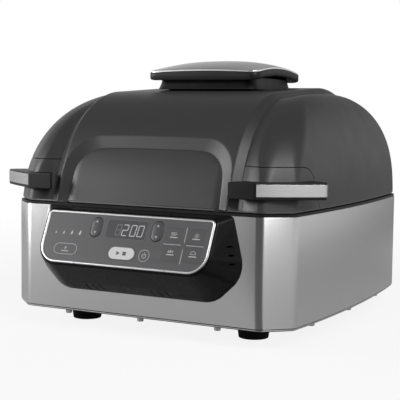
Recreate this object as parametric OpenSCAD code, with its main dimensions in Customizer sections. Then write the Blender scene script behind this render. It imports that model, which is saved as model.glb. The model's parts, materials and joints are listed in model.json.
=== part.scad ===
// Countertop electric grill with a hinged lid, a lift-out pot and a grate.
// X runs to the viewer's right, the front faces -Y and Z is up.
// The origin is on the resting plane, under the middle of the bounding box.

/* [Body] */
// Widest width of the steel wrap
body_w = 334; // [320:1:360]
// Depth of the steel wrap, front face to rear face
body_d = 365; // [350:1:400]
// Height of the steel wrap
band_h = 105; // [95:1:125]
// Sheet thickness of the steel wrap
band_t = 1.2; // [0.8:0.1:2]
// Width across one front corner facet
corner_x = 26; // [24:1:40]
// Depth of one front corner facet
corner_y = 24; // [18:1:30]
// How far the sides narrow from the widest point to the rear
side_bow = 11; // [4:1:16]
// Height of the feet
foot_h = 17; // [12:1:24]
// Radius of a foot at the floor
foot_r = 15; // [8:0.5:18]
// Height of the plastic lip under the steel wrap
lip_h = 5.5; // [4:0.5:8]

/* [Cooking well] */
// Width of the pot at its rim, outside
pot_w = 266; // [240:1:276]
// Depth of the pot at its rim, outside
pot_d = 266; // [240:1:276]
// Space between the pot and the floor of the body, for the well and the boards
pot_space = 17.8; // [14:0.1:30]
// Wall of the pot
pot_t = 2; // [1.5:0.1:3]
// Height of the grate above the pot floor
grate_lift = 18; // [12:1:26]
// Number of ridges on the grate
ridge_count = 13; // [9:2:15]

/* [Lid] */
// Height of the centre arch of the lid
arch_h = 120.7; // [110:0.5:135]
// Height of the side shells of the lid
shell_h = 114.5; // [104:0.5:118]
// Width of the centre arch at its bevelled foot
arch_w = 212; // [200:1:224]
// Wall of the lid parts
lid_t = 3; // [2.5:0.1:4]
// Gap between the rim and the lid
lid_gap = 1; // [0.6:0.1:2]
// Reach of a handle wing past the widest point of the wrap
wing_out = 19; // [14:0.5:24]
// Height of a handle wing at its outer edge
wing_h = 16.3; // [12:0.1:20]

/* [Top cap] */
// Width of the top cap
cap_w = 133; // [115:1:150]
// Depth of the top cap
cap_d = 117; // [100:1:130]
// Rise of the cap from its front edge to its crown
cap_crown = 14; // [8:0.5:18]

/* [Control panel] */
// Width of the trim ring round the fascia
panel_w = 190.5; // [184:0.5:196]
// Height of the trim ring along the slope
panel_h = 54.5; // [52:0.5:58]
// Backward lean of the fascia in degrees
panel_tilt = 25; // [12:1:30]
// Reach of the fascia's middle in front of the steel
panel_out = 24.3; // [18:0.1:28]
// Travel of the push buttons
key_travel = 0.5; // [0.3:0.1:0.8]
// Tilt of the rocker keys each way in degrees
rocker_tilt = 3; // [2:0.5:3]

/* [Hinge and fan] */
// Radius of the hinge pin
pin_r = 3; // [2.5:0.1:4]
// Radius of the hinge barrel
barrel_r = 12; // [10:0.5:13]
// Radius of the convection fan
fan_r = 62; // [50:1:66]
// Number of fan blades
blade_count = 9; // [6:1:12]
// Radius of the motor shaft
shaft_r = 4; // [3:0.1:5]

/* [Hidden] */

// Clearances
fit_gap = 0.3;
seat_gap = 0.15;
run_gap = 0.08;
key_gap = 0.3;
fascia_t = 2.5;
trim_ring = 2.4;
trim_proud = 0.8;
housing_border = 3;
ledge_w = 4;

// Overall layout
half_w = body_w / 2;
panel_s = sin(panel_tilt);
housing_out = panel_out + (panel_h / 2 + housing_border) * panel_s;
knuckle_r = barrel_r + 1.5;
axis_back = knuckle_r + fit_gap;
total_d = housing_out + body_d + axis_back + knuckle_r;
front_y = housing_out - total_d / 2;
rear_y = front_y + body_d;
wide_y = front_y + 0.425 * body_d;
plate_t = 3;
plate_z = foot_h;
band_z0 = foot_h + lip_h;
band_z1 = band_z0 + band_h;
rim_t = 2.5;
rim_z = band_z1 + rim_t;
frame_t = 1.3;
frame_z = rim_z + lid_gap;
lid_z = frame_z + frame_t;
arch_z = lid_z + arch_h;
well_y = front_y + 170;

// Smooth helpers
function unit(v) = v / norm(v);
function edge_normal(a, b) = let (d = unit(b - a)) [d[1], -d[0]];
// Shrinks a counter-clockwise outline by d along its edge normals
function inset(pts, d) = let (n = len(pts)) [for (i = [0:n - 1])
    let (a = edge_normal(pts[(i + n - 1) % n], pts[i]), b = edge_normal(pts[i], pts[(i + 1) % n]))
    pts[i] - d * (a + b) / (1 + a * b)];
// Arc of radius r that rounds corner b between a and c, in n steps
function fillet(a, b, c, r, n) = let (u = unit(a - b), v = unit(c - b), half = acos(u * v) / 2,
    m = b + unit(u + v) * r / sin(half), p = b + u * r / tan(half), q = b + v * r / tan(half))
    [for (i = [0:n]) m + r * unit((p - m) * (1 - i / n) + (q - m) * (i / n))];
function flip(pts) = [for (i = [len(pts) - 1:-1:0]) [-pts[i][0], pts[i][1]]];
// How far a lid wall has leaned in at height share u
function lean_in(u, lean, depth, power) = lean * u + depth * (1 - sqrt(max(0, 1 - pow(u, power))));

// Plan outline of the wrap: flat front, faceted corners, bowed sides, narrower rear
function side_x(y) = half_w - side_bow * pow((y - wide_y) / (body_d / 2), 2);
corner_front = [side_x(front_y + corner_y) - corner_x, front_y];
corner_side = [side_x(front_y + corner_y), front_y + corner_y];
rear_corner_side = [side_x(rear_y - 27), rear_y - 27];
rear_corner = [side_x(rear_y - 27) - 32, rear_y];
side_steps = 7;
facet_front_r = 16;
facet_side_r = 10;
rear_r = 22;
half_outline = concat(
    fillet([0, front_y], corner_front, corner_side, facet_front_r, 4),
    fillet(corner_front, corner_side, [side_x(front_y + 60), front_y + 60], facet_side_r, 4),
    [for (i = [1:side_steps])
        let (y = front_y + 60 + (body_d - 120) * (i - 1) / (side_steps - 1)) [side_x(y), y]],
    fillet([side_x(rear_y - 60), rear_y - 60], rear_corner_side, rear_corner, rear_r, 4),
    fillet(rear_corner_side, rear_corner, [0, rear_y], rear_r, 4));
body_outline = concat(half_outline, flip(half_outline));

// Rounded rectangle that keeps true arcs
module round_rect(w, d, r) {
    square([w - 2 * r, d], center = true);
    square([w, d - 2 * r], center = true);
    for (x = [-1, 1], y = [-1, 1])
        translate([x * (w / 2 - r), y * (d / 2 - r)]) circle(r, $fn = 32);
}

module stadium(w, h) {
    r = min(w, h) / 2;
    square([max(w - 2 * r, 0.01), h - (w > h ? 0 : 2 * r)], center = true);
    square([w - (w > h ? 2 * r : 0), max(h - 2 * r, 0.01)], center = true);
    for (s = [-1, 1])
        translate([s * (w / 2 - r), s * (h / 2 - r)]) circle(r, $fn = 32);
}

// A stack of rings with the same number of points, closed at both ends
module loft(rings) {
    n = len(rings[0]);
    m = len(rings);
    polyhedron(
        points = [for (r = rings, p = r) p],
        faces = concat(
            [[for (i = [0:n - 1]) i]],
            [for (k = [0:m - 2], i = [0:n - 1]) [k * n + i, (k + 1) * n + i, (k + 1) * n + (i + 1) % n]],
            [for (k = [0:m - 2], i = [0:n - 1])
                [k * n + i, (k + 1) * n + (i + 1) % n, k * n + (i + 1) % n]],
            [[for (i = [n - 1:-1:0]) (m - 1) * n + i]]),
        convexity = 6);
}

// Ring of a rounded rectangle at height z, centred over the well
corner_steps = 6;
function rect_ring(w, d, r, z) = [for (q = [0:3], i = [0:corner_steps])
    let (a = 90 * q + 90 * i / corner_steps, sx = q == 0 || q == 3 ? 1 : -1, sy = q < 2 ? 1 : -1)
    [sx * (w / 2 - r) + r * cos(a), well_y + sy * (d / 2 - r) + r * sin(a), z]];

// ---------------------------------------------------------------- base body
gland_x = -105;
gland_z = band_z0 + 24;
gland_r = 9;
vent_x = 95;
vent_z = band_z0 + 42;
vent_w = 70;
vent_h = 36;
foot_x = half_w * 0.6;
foot_front_y = front_y + 62;
foot_rear_y = rear_y - 50;
foot_top_r = foot_r + 2.5;
screw_r = 2;
hinge_z = rim_z + 2.5;
hinge_y = rear_y + axis_back;
ear_in = 62;
ear_t = 18;

module steel_band() {
    color("silver")
    difference() {
        translate([0, 0, band_z0]) linear_extrude(band_h) difference() {
            polygon(body_outline);
            polygon(inset(body_outline, band_t));
        }
        // way for the wiring behind the control housing
        translate([-60, front_y - 5, panel_z - 15]) cube([120, 20, 30]);
        // rear openings for the gland and the air outlet
        translate([gland_x, rear_y, gland_z]) rotate([90, 0, 0])
            cylinder(r = gland_r + run_gap, h = 20, center = true, $fn = 48);
        translate([vent_x - vent_w / 2 + 4, rear_y - 10, vent_z - vent_h / 2 + 4])
            cube([vent_w - 8, 20, vent_h - 8]);
    }
}

module foot_places() {
    for (x = [-foot_x, foot_x], y = [foot_front_y, foot_rear_y])
        translate([x, y, 0]) children();
}

boss_r = 3.5;
boss_h = 2.2;
boss_places = concat([for (x = [-0.26, 0, 0.26]) [x * body_w, front_y + 8]],
    [for (s = [-1, 1], y = [-100, 0, 100]) [s * (side_x(y) - 9), y]]);
module base_plate() {
    color("#1c1c1e")
    difference() {
        union() {
            translate([0, 0, plate_z]) linear_extrude(plate_t) polygon(inset(body_outline, 3));
            translate([0, 0, plate_z]) linear_extrude(lip_h) difference() {
                polygon(inset(body_outline, 1.5));
                polygon(inset(body_outline, 6));
            }
            translate([0, 0, plate_z]) linear_extrude(lip_h + 12) difference() {
                polygon(inset(body_outline, band_t + fit_gap));
                polygon(inset(body_outline, band_t + 4));
            }
            foot_places() translate([0, 0, plate_z]) cylinder(r = foot_top_r + 3, h = 7, $fn = 40);
            for (p = boss_places) translate([p[0], p[1], plate_z - boss_h])
                cylinder(r = boss_r, h = boss_h + 1, $fn = 24);
        }
        foot_places() translate([0, 0, plate_z - 1]) cylinder(r = screw_r + run_gap, h = 20, $fn = 24);
        for (i = [-5:5], y = [-60, 40])
            translate([i * 14, y, plate_z - 1]) linear_extrude(plate_t + 2) stadium(4, 46);
    }
}

module feet() {
    color("#141414")
    foot_places() difference() {
        cylinder(r1 = foot_r, r2 = foot_top_r, h = foot_h, $fn = 40);
        translate([0, 0, -1]) cylinder(r = 5, h = foot_h - 5, $fn = 24);
        cylinder(r = screw_r + run_gap, h = foot_h + 1, $fn = 24);
    }
}

module base_screws() {
    color("gray")
    foot_places() {
        translate([0, 0, foot_h - 8.5]) cylinder(r = 4, h = 2.5, $fn = 24);
        translate([0, 0, foot_h - 7]) cylinder(r = screw_r, h = 14, $fn = 24);
    }
}

flange_w = 7;
flange_t = 1.8;
well_gap = 3;
module rim_trim() {
    color("#232325")
    difference() {
        union() {
            translate([0, 0, band_z1]) linear_extrude(rim_t) polygon(inset(body_outline, 0.6));
            translate([0, 0, band_z1 - 12]) linear_extrude(12) difference() {
                polygon(inset(body_outline, band_t + fit_gap));
                polygon(inset(body_outline, band_t + 4));
            }
        }
        translate([0, well_y, band_z1 - 20]) linear_extrude(40)
            round_rect(pot_w + 2 * well_gap, pot_d + 2 * well_gap, 34);
        translate([0, well_y, rim_z - flange_t - 0.2]) linear_extrude(10)
            round_rect(pot_w + 2 * flange_w + 1, pot_d + 2 * flange_w + 1, 38);
    }
}

well_floor = plate_z + plate_t + 14;
well_t = 1;
module inner_well() {
    color("#b9bbbd")
    difference() {
        translate([0, well_y, well_floor]) linear_extrude(band_z1 - well_floor)
            round_rect(pot_w + 2 * well_gap + 4, pot_d + 2 * well_gap + 4, 36);
        translate([0, well_y, well_floor + well_t]) linear_extrude(band_h)
            round_rect(pot_w + 2 * well_gap + 4 - 2 * well_t, pot_d + 2 * well_gap + 4 - 2 * well_t, 35);
    }
}

pot_draft = 6;
pot_top = rim_z - 0.2;
pot_h = pot_top - plate_z - plate_t - pot_space;
pot_floor = pot_top - pot_h;
pot_curve = 12;
// Pot form shrunk by t: straight drafted wall over a curved floor edge
module pot_form(t, high) {
    wall_z = pot_floor + t + pot_curve;
    loft(concat(
        [for (i = [0:3]) let (a = 90 * i / 3, in = t + pot_draft + pot_curve * (1 - sin(a)))
            rect_ring(pot_w - 2 * in, pot_d - 2 * in, 34 - in + 12, wall_z - pot_curve * cos(a))],
        [rect_ring(pot_w - 2 * t, pot_d - 2 * t, 32 - t, high)]));
}

module cooking_pot() {
    color("#2c2c2e")
    difference() {
        union() {
            pot_form(0, pot_top - 0.2);
            translate([0, well_y, pot_top - flange_t]) linear_extrude(flange_t)
                round_rect(pot_w + 2 * flange_w, pot_d + 2 * flange_w, 37);
        }
        pot_form(pot_t, pot_top + 0.1);
    }
}

grate_z = pot_floor + pot_t + grate_lift;
grate_t = 4;
ridge_h = 6;
grate_w = pot_w - 30;
grate_d = pot_d - 30;
ridge_pitch = (grate_w - 24) / (ridge_count - 1);
module grill_grate() {
    color("#333335")
    difference() {
        union() {
            translate([0, well_y, grate_z]) linear_extrude(grate_t) round_rect(grate_w, grate_d, 26);
            // tapered ridges from front to back
            intersection() {
                for (i = [0:ridge_count - 1])
                    translate([(i - (ridge_count - 1) / 2) * ridge_pitch, well_y, grate_z + grate_t])
                        rotate([90, 0, 0])
                        linear_extrude(grate_d - 10, center = true)
                            polygon([[-3.2, -0.1], [3.2, -0.1], [1.8, ridge_h], [-1.8, ridge_h]]);
                translate([0, well_y, grate_z]) linear_extrude(20)
                    round_rect(grate_w - 6, grate_d - 6, 24);
            }
            // rim round the plate
            translate([0, well_y, grate_z]) linear_extrude(grate_t + 3) difference() {
                round_rect(grate_w, grate_d, 26);
                round_rect(grate_w - 8, grate_d - 8, 22);
            }
            // legs that stand on the pot floor
            for (x = [-1, 1], y = [-1, 1])
                translate([x * grate_w * 0.36, well_y + y * grate_d * 0.36, pot_floor + pot_t])
                    cylinder(r = 5, h = grate_lift + 1, $fn = 24);
        }
        // slots between the ridges
        for (i = [0:ridge_count - 2], y = [-1, 0, 1])
            translate([(i - (ridge_count - 2) / 2) * ridge_pitch, well_y + y * (grate_d * 0.29),
                grate_z - 1])
                linear_extrude(grate_t + 2) square([5, grate_d * 0.23], center = true);
    }
}

// ------------------------------------------------------------ control panel
panel_y = front_y - panel_out;
panel_z = band_z1 - 28.4;
module at_panel() {
    translate([0, panel_y, panel_z]) rotate([90 - panel_tilt, 0, 0]) children();
}

// Outline of the trim ring: small upper corners, wide lower corners
trim_top_r = 5;
trim_low_r = 20;
panel_low = [panel_w / 2 - 0.5, -panel_h / 2];
panel_high = [panel_w / 2, panel_h / 2];
panel_half = concat(
    fillet([0, -panel_h / 2], panel_low, panel_high, trim_low_r, 8),
    fillet(panel_low, panel_high, [0, panel_h / 2], trim_top_r, 5));
panel_outline = concat(panel_half, flip(panel_half));

// Outline of the housing where it meets the steel, as x and z
chin_half_w = 88;
chin_z = band_z0 + 20;
chin_r = 30;
housing_w = panel_w + 48.5;
housing_top_w = panel_w + 22.5;
housing_low_z = band_z1 - 55.5;
chin_corner = [chin_half_w, chin_z];
housing_low = [housing_w / 2, housing_low_z];
housing_high = [housing_top_w / 2, band_z1];
housing_half = concat(
    fillet([0, chin_z], chin_corner, housing_low, chin_r, 4),
    fillet(chin_corner, housing_low, housing_high, chin_r, 6),
    fillet(housing_low, housing_high, [0, band_z1], 5, 3));
housing_outline = concat(housing_half, flip(housing_half));

// Crease across the chin, where its upper face turns in to the steel
crease_half_w = 74;
crease_out = 16.2;
crease_up = 11.5;

// Wedge between the outline on the steel and the outline on the fascia plane
module housing_form(shrink, back, sink) {
    hull() {
        translate([shrink - crease_half_w, front_y - crease_out + shrink,
            chin_z + crease_up + shrink / 2])
            cube([2 * (crease_half_w - shrink), 0.3, 0.3]);
        translate([0, front_y - back, 0]) rotate([90, 0, 0]) linear_extrude(0.3)
            polygon(inset(housing_outline, shrink));
        at_panel() translate([0, 0, -sink - 0.3]) linear_extrude(0.3)
            polygon(inset(panel_outline, shrink - housing_border));
    }
}

slot_groups = [-43.5, 32];
slot_pitch = 8.5;
slot_w = 1.4;
slot_len = 14.5;
// Lean of the chin's lower face behind the vertical
chin_lean = atan(crease_out / crease_up);
housing_wall = 2.5;
module control_housing() {
    color("#0e0e10")
    difference() {
        housing_form(0, 0, 0);
        housing_form(housing_wall, -1, 5);
        at_panel() {
            translate([0, 0, -fascia_t]) linear_extrude(10) polygon(panel_outline);
            translate([0, 0, -12]) linear_extrude(12) polygon(inset(panel_outline, ledge_w));
        }
        // three slots in each group, down the lower face of the chin
        for (x = slot_groups, k = [-1, 0, 1])
            translate([x + k * slot_pitch, front_y - crease_out / 2, chin_z + crease_up / 2])
                rotate([90 + chin_lean, 0, 0])
                cube([slot_w, slot_len, 20], center = true);
        // three short slots in each side
        for (s = [-1, 1], k = [-1, 0, 1])
            translate([s * (panel_w / 2 + 12), front_y - 9, panel_z - 8 + k * 8.2])
                cube([30, 5, 1.8], center = true);
    }
}

window_w = 46;
window_h = 20;
window_x = 0.1;
window_v = 11.6;
rocker_w = 12.2;
rocker_h = 21.5;
temp_x = -34.8;
time_x = 34.8;
rocker_v = 12;
grill_x = -64.9;
grill_v = -12.7;
grill_w = 27.6;
grill_h = 11.6;
start_x = 1.1;
start_v = -13;
start_w = 28.8;
start_h = 12.5;
power_x = 26.3;
power_v = -13.1;
power_r = 6.2;
fkey_w = 18.4;
fkey_h = 16;
fkey_pitch_x = 24.2;
fkey_pitch_v = 17.4;
fkey_x = 66;
fkey_v = 0.3;
axle_r = 1;
rocker_proud = 0.6;
axle_w = -4.6;
axle_l = 2.8;
rocker_gap = 0.2 + (rocker_proud - axle_w) * sin(rocker_tilt);
function fkey_place(i) = [fkey_x + (i % 2 == 0 ? -1 : 1) * fkey_pitch_x / 2,
    fkey_v + (i < 2 ? 1 : -1) * fkey_pitch_v / 2];

module fascia() {
    color("#6b6d70")
    difference() {
        union() {
            at_panel() translate([0, 0, -fascia_t]) linear_extrude(fascia_t)
                polygon(inset(panel_outline, trim_ring));
            // lugs behind the plate that hold the rocker axles
            at_panel() for (x = [temp_x, time_x], s = [-1, 1])
                translate([x + s * (rocker_w / 2 + 1.8), rocker_v, -fascia_t - 2])
                    cube([2, 5, 4.2], center = true);
        }
        at_panel() {
            translate([window_x, window_v, -fascia_t / 2]) linear_extrude(5)
                round_rect(window_w + 0.2, window_h + 0.2, 2.5);
            translate([window_x, window_v, -5]) linear_extrude(10)
                round_rect(window_w - 4, window_h - 4, 1.5);
            for (x = [temp_x, time_x]) {
                translate([x, rocker_v, -5]) linear_extrude(10)
                    stadium(rocker_w + 2 * rocker_gap, rocker_h + 2 * rocker_gap);
                translate([x, rocker_v, axle_w]) rotate([0, 90, 0])
                    cylinder(r = axle_r + run_gap, h = rocker_w + 20, center = true, $fn = 24);
            }
            translate([grill_x, grill_v, -5]) linear_extrude(10)
                stadium(grill_w + 2 * key_gap, grill_h + 2 * key_gap);
            translate([start_x, start_v, -5]) linear_extrude(10)
                stadium(start_w + 2 * key_gap, start_h + 2 * key_gap);
            translate([power_x, power_v, -5]) cylinder(r = power_r + key_gap, h = 10, $fn = 48);
            for (i = [0:3])
                translate([fkey_place(i)[0], fkey_place(i)[1], -5]) linear_extrude(10)
                    round_rect(fkey_w + 2 * key_gap, fkey_h + 2 * key_gap, 1.5);
        }
    }
}

// Two notches in the ring's lower edge, as shares of its half width
ring_notches = [-0.53, 0.55];
module fascia_trim() {
    color("#d7d9db")
    at_panel() translate([0, 0, -fascia_t]) linear_extrude(fascia_t + trim_proud) difference() {
        polygon(panel_outline);
        polygon(inset(panel_outline, trim_ring));
        for (x = ring_notches) translate([x * panel_w / 2, -panel_h / 2]) square([2, 3], center = true);
    }
}

module display_window() {
    color("#15161a")
    at_panel() translate([window_x, window_v, -fascia_t / 2]) linear_extrude(fascia_t / 2 + 0.1)
        round_rect(window_w, window_h, 2.4);
}

// Rocker that tips on an axle behind the fascia
module rocker(x) {
    at_panel() translate([x, rocker_v, 0]) {
        translate([0, 0, axle_w - 0.8]) linear_extrude(rocker_proud + 0.8 - axle_w)
            stadium(rocker_w, rocker_h - 1);
        translate([0, 0, axle_w]) rotate([0, 90, 0])
            cylinder(r = axle_r, h = rocker_w + 2 * axle_l, center = true, $fn = 24);
    }
}

module temp_rocker() {
    color("#2a2b2e") rocker(temp_x);
}

module time_rocker() {
    color("#2a2b2e") rocker(time_x);
}

// Push key: a cap through the fascia with a flange and a stem behind it
key_flange = 1;
key_proud = 0.6;
flange_r = 3;
stem_w = 2;
stem_low = -fascia_t - key_flange - key_gap - 1;
module key_back(w, h) {
    translate([0, 0, -fascia_t - key_flange - key_gap]) linear_extrude(key_flange)
        round_rect(w, h, flange_r);
    translate([0, 0, stem_low]) cylinder(r = stem_w, h = 1.2, $fn = 24);
}

module grill_button() {
    color("#75777a") at_panel() translate([grill_x, grill_v, 0]) {
        translate([0, 0, -fascia_t - key_flange]) linear_extrude(fascia_t + key_flange + key_proud)
            stadium(grill_w, grill_h);
        key_back(grill_w + 2, grill_h + 1);
    }
}

module start_stop_button() {
    color("white") at_panel() translate([start_x, start_v, 0]) {
        translate([0, 0, -fascia_t - key_flange]) linear_extrude(fascia_t + key_flange + key_proud + 0.6)
            stadium(start_w, start_h);
        key_back(start_w + 2, start_h + 1);
    }
}

module power_button() {
    color("#3a3c3f") at_panel() translate([power_x, power_v, 0]) {
        translate([0, 0, -fascia_t - key_flange])
            cylinder(r = power_r, h = fascia_t + key_flange + key_proud, $fn = 48);
        key_back(2 * power_r + 1.4, 2 * power_r + 1.4);
    }
}

module function_key(i) {
    color("#6b6d70") at_panel() translate([fkey_place(i)[0], fkey_place(i)[1], 0]) {
        translate([0, 0, -fascia_t - key_flange]) linear_extrude(fascia_t + key_flange + 0.1)
            round_rect(fkey_w, fkey_h, 1.2);
        key_back(fkey_w + 1, fkey_h + 1);
    }
}

board_w = -9.5;
board_t = 1.6;
switch_top = stem_low - key_travel - key_gap;
module control_board() {
    color("#1f5a36")
    at_panel() {
        translate([0, -1, board_w]) linear_extrude(board_t)
            square([panel_w - 26, panel_h - 15], center = true);
        // switches under the keys, sensor chips and the display block
        for (p = concat([[grill_x, grill_v], [start_x, start_v], [power_x, power_v]],
            [for (i = [0:3]) fkey_place(i)]))
            translate([p[0], p[1], board_w + 1.5])
                cylinder(r = 3, h = switch_top - board_w - 1.5, $fn = 20);
        translate([window_x, window_v, board_w + 1.5]) linear_extrude(-board_w - fascia_t - 1.5)
            square([window_w - 6, window_h - 6], center = true);
        // posts that carry the board on the back of the fascia
        for (p = [[-70, 9], [-35, -13], [38.5, -14]])
            translate([p[0], p[1], board_w + 1.5])
                cylinder(r = 2, h = -board_w - fascia_t - 1.5, $fn = 20);
    }
}

module power_board() {
    color("#2b5b3a")
    translate([40, 70, plate_z + plate_t]) {
        translate([0, 0, 3]) linear_extrude(1.6) square([110, 60], center = true);
        for (x = [-1, 1], y = [-1, 1]) translate([x * 50, y * 25, 0])
            cylinder(r = 2.5, h = 3.1, $fn = 20);
        translate([-30, 5, 4.5]) linear_extrude(8) square([22, 18], center = true);
        translate([2, -8, 4.5]) linear_extrude(7) square([18, 14], center = true);
        for (x = [25, 38]) translate([x, 8, 4.5]) cylinder(r = 5, h = 8, $fn = 24);
    }
}

module cord_gland() {
    color("#1a1a1c")
    translate([gland_x, rear_y, gland_z]) rotate([-90, 0, 0]) difference() {
        union() {
            translate([0, 0, -10]) cylinder(r = gland_r, h = 13, $fn = 48);
            cylinder(r = gland_r + 3, h = 3, $fn = 48);
            translate([0, 0, -band_t - 2.5]) cylinder(r = gland_r + 2.5, h = 2.4, $fn = 48);
        }
        cylinder(r = 3.8, h = 40, center = true, $fn = 32);
    }
}

louvre_count = 5;
module rear_vent() {
    color("#1c1c1e")
    translate([vent_x, rear_y, vent_z]) difference() {
        union() {
            translate([-vent_w / 2, 0, -vent_h / 2]) cube([vent_w, 2, vent_h]);
            translate([-vent_w / 2 + 4.3, -3, -vent_h / 2 + 4.3]) cube([vent_w - 8.6, 4, vent_h - 8.6]);
        }
        for (i = [0:louvre_count - 1])
            translate([0, 0, (i - (louvre_count - 1) / 2) * 5]) rotate([-35, 0, 0])
                cube([vent_w - 14, 30, 2.2], center = true);
    }
}

// -------------------------------------------------------------------- hinge
module hinge_bracket() {
    color("#19191b")
    difference() {
        union() {
            // ears with the pin bores
            for (s = [-1, 1]) translate([s * (ear_in + ear_t / 2), 0, 0])
                rotate([90, 0, 90]) linear_extrude(ear_t, center = true) {
                translate([hinge_y, hinge_z]) circle(knuckle_r, $fn = 64);
                polygon([[rear_y, hinge_z - 32], [rear_y + 8, hinge_z - 32],
                    [hinge_y + knuckle_r, hinge_z - 4], [hinge_y + knuckle_r, hinge_z],
                    [hinge_y, hinge_z], [rear_y, hinge_z - knuckle_r + 2]]);
            }
            // saddle between the ears
            rotate([90, 0, 90]) linear_extrude(2 * ear_in + 1, center = true)
                polygon([[rear_y, hinge_z - 32], [rear_y + 8, hinge_z - 32],
                    [hinge_y + 2, hinge_z - barrel_r - 2], [rear_y, hinge_z - barrel_r - 2]]);
        }
        translate([0, hinge_y, hinge_z]) rotate([0, 90, 0])
            cylinder(r = pin_r + run_gap, h = 400, center = true, $fn = 48);
    }
}

module hinge_pin() {
    color("gray")
    translate([0, hinge_y, hinge_z]) rotate([0, 90, 0])
        cylinder(r = pin_r, h = 2 * (ear_in + ear_t), center = true, $fn = 48);
}

module lid_hinge_arm() {
    color("#19191b")
    difference() {
        union() {
            translate([0, hinge_y, hinge_z]) rotate([0, 90, 0])
                cylinder(r = barrel_r, h = 2 * (ear_in - fit_gap), center = true, $fn = 64);
            translate([-(ear_in - fit_gap), rear_y - 9, lid_z])
                cube([2 * (ear_in - fit_gap), hinge_y - rear_y + 9, hinge_z + barrel_r - lid_z]);
        }
        translate([0, hinge_y, hinge_z]) rotate([0, 90, 0])
            cylinder(r = pin_r + run_gap, h = 400, center = true, $fn = 48);
        across(400) polygon(arch_profile);
    }
}

// ---------------------------------------------------------------- lid shell
lid_in = 2;
lid_outline = inset(body_outline, lid_in);
shell_side = 60;
shell_front_lean = 28;
shell_front = 130;
shell_rear = 95;
shell_rear_lean = 10;
side_power = 2.6;
front_power = 2.8;
rear_power = 2.7;
lid_mid = front_y + 190;
shell_steps = 13;
function level(i, n) = 1 - pow(1 - i / n, 2);
// One ring of the side shells at height share u, shrunk by t
function shell_ring(u, t, foot) = [for (p = inset(lid_outline, t)) [
    p[0] * (1 - lean_in(u, 0, shell_side, side_power) / half_w),
    lid_mid + (p[1] - lid_mid) * (p[1] < lid_mid
        ? 1 - lean_in(u, shell_front_lean, shell_front, front_power) / (lid_mid - front_y)
        : 1 - lean_in(u, shell_rear_lean, shell_rear, rear_power) / (rear_y - lid_mid)),
    lid_z - foot + (shell_h - t) * u]];
module shell_form(t, foot) {
    loft([for (i = [0:shell_steps]) shell_ring(level(i, shell_steps), t, foot)]);
}

// Side view of the arch as y and z, from the front foot over the top to the rear foot
arch_lean = 32;
arch_front = 88;
arch_power = 2.8;
// The roof climbs from the front shoulder to the rear one
roof_rise = 6.7;
shoulder_h = arch_h - roof_rise;
arch_rear = 120;
arch_rear_lean = 10;
arch_rear_power = 3;
arch_steps = 18;
skirt = 20;
arch_profile = concat(
    [[front_y + lid_in, lid_z - skirt], [rear_y - lid_in, lid_z - skirt]],
    [for (i = [0:arch_steps]) let (u = level(i, arch_steps))
        [rear_y - lid_in - lean_in(u, arch_rear_lean, arch_rear, arch_rear_power), lid_z + arch_h * u]],
    [for (i = [arch_steps - 1:-1:0]) let (u = level(i, arch_steps))
        [front_y + lid_in + lean_in(u, arch_lean, arch_front, arch_power), lid_z + shoulder_h * u]]);
module across(w) {
    rotate([90, 0, 90]) linear_extrude(w, center = true) children();
}

bevel_w = 8;
bevel_d = 6;
arch_t = 4;
flange_d = 10;
module arch_form() {
    intersection() {
        hull() {
            across(arch_w - 2 * bevel_w) polygon(arch_profile);
            across(arch_w) polygon(inset(arch_profile, bevel_d));
        }
        translate([-arch_w, front_y - 50, lid_z]) cube([2 * arch_w, body_d + 100, 300]);
    }
}

// Inset front panel: outline as x and height above the lid's foot
inset_half_w = arch_w / 2 - 10;
inset_top = 68;
inset_bevel = 10;
inset_depth = 4.5;
inset_wall = 3;
panel_front_half = concat([[inset_half_w + 2, -2]],
    fillet([inset_half_w + 2, -2], [inset_half_w - 1, inset_top - 2], [0, inset_top], 34, 9),
    [[40, inset_top - 0.6]]);
panel_front = concat(panel_front_half, flip(panel_front_half));
function arch_front_y(z) = let (u = max(0, min(1, (z - lid_z) / shoulder_h)))
    front_y + lid_in + lean_in(u, arch_lean, arch_front, arch_power);
function on_arch(pts, deep) = [for (p = pts) [p[0], arch_front_y(lid_z + p[1]) + deep, lid_z + p[1]]];
function at_depth(pts, y) = [for (p = pts) [p[0], y, lid_z + p[1]]];
inner_front = [for (p = panel_front)
    [p[0] * (1 - inset_bevel / inset_half_w), p[1] < 0 ? p[1] : p[1] * (1 - inset_bevel / inset_top)]];
module inset_cutter() {
    loft([at_depth(inner_front, front_y + 60), on_arch(inner_front, inset_depth),
        on_arch(panel_front, 0), at_depth(panel_front, front_y - 20)]);
}

vent_slots = 5;
module lid_arch() {
    color("#3b3c3e")
    difference() {
        arch_form();
        difference() {
            across(arch_w - 2 * arch_t) polygon(inset(arch_profile, arch_t));
            // thicker wall behind the recess of the front panel
            difference() {
                translate([-inset_half_w - 3, front_y, lid_z - 1])
                    cube([2 * inset_half_w + 6, 60, inset_top + 5]);
                across(arch_w) polygon(inset(arch_profile, inset_depth + inset_wall));
            }
        }
        across(arch_w + 10) polygon(inset(arch_profile, flange_d));
        inset_cutter();
        // slots that let air in under the top cap
        for (i = [0:vent_slots - 1])
            translate([0, cap_y + (i - (vent_slots - 1) / 2) * 14, arch_z - 10])
                cube([70, 6, 30], center = true);
    }
}

module lid_front_panel() {
    color("#3f4042")
    intersection() {
        difference() {
            across(2 * inset_half_w) polygon(inset(arch_profile, inset_depth));
            across(2 * inset_half_w + 10) polygon(inset(arch_profile, inset_depth + inset_wall));
        }
        translate([0, front_y + 60, lid_z]) rotate([90, 0, 0]) linear_extrude(80) intersection() {
            polygon(inset(inner_front, 0.15));
            translate([-150, 0]) square([300, 200]);
        }
    }
}

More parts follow.
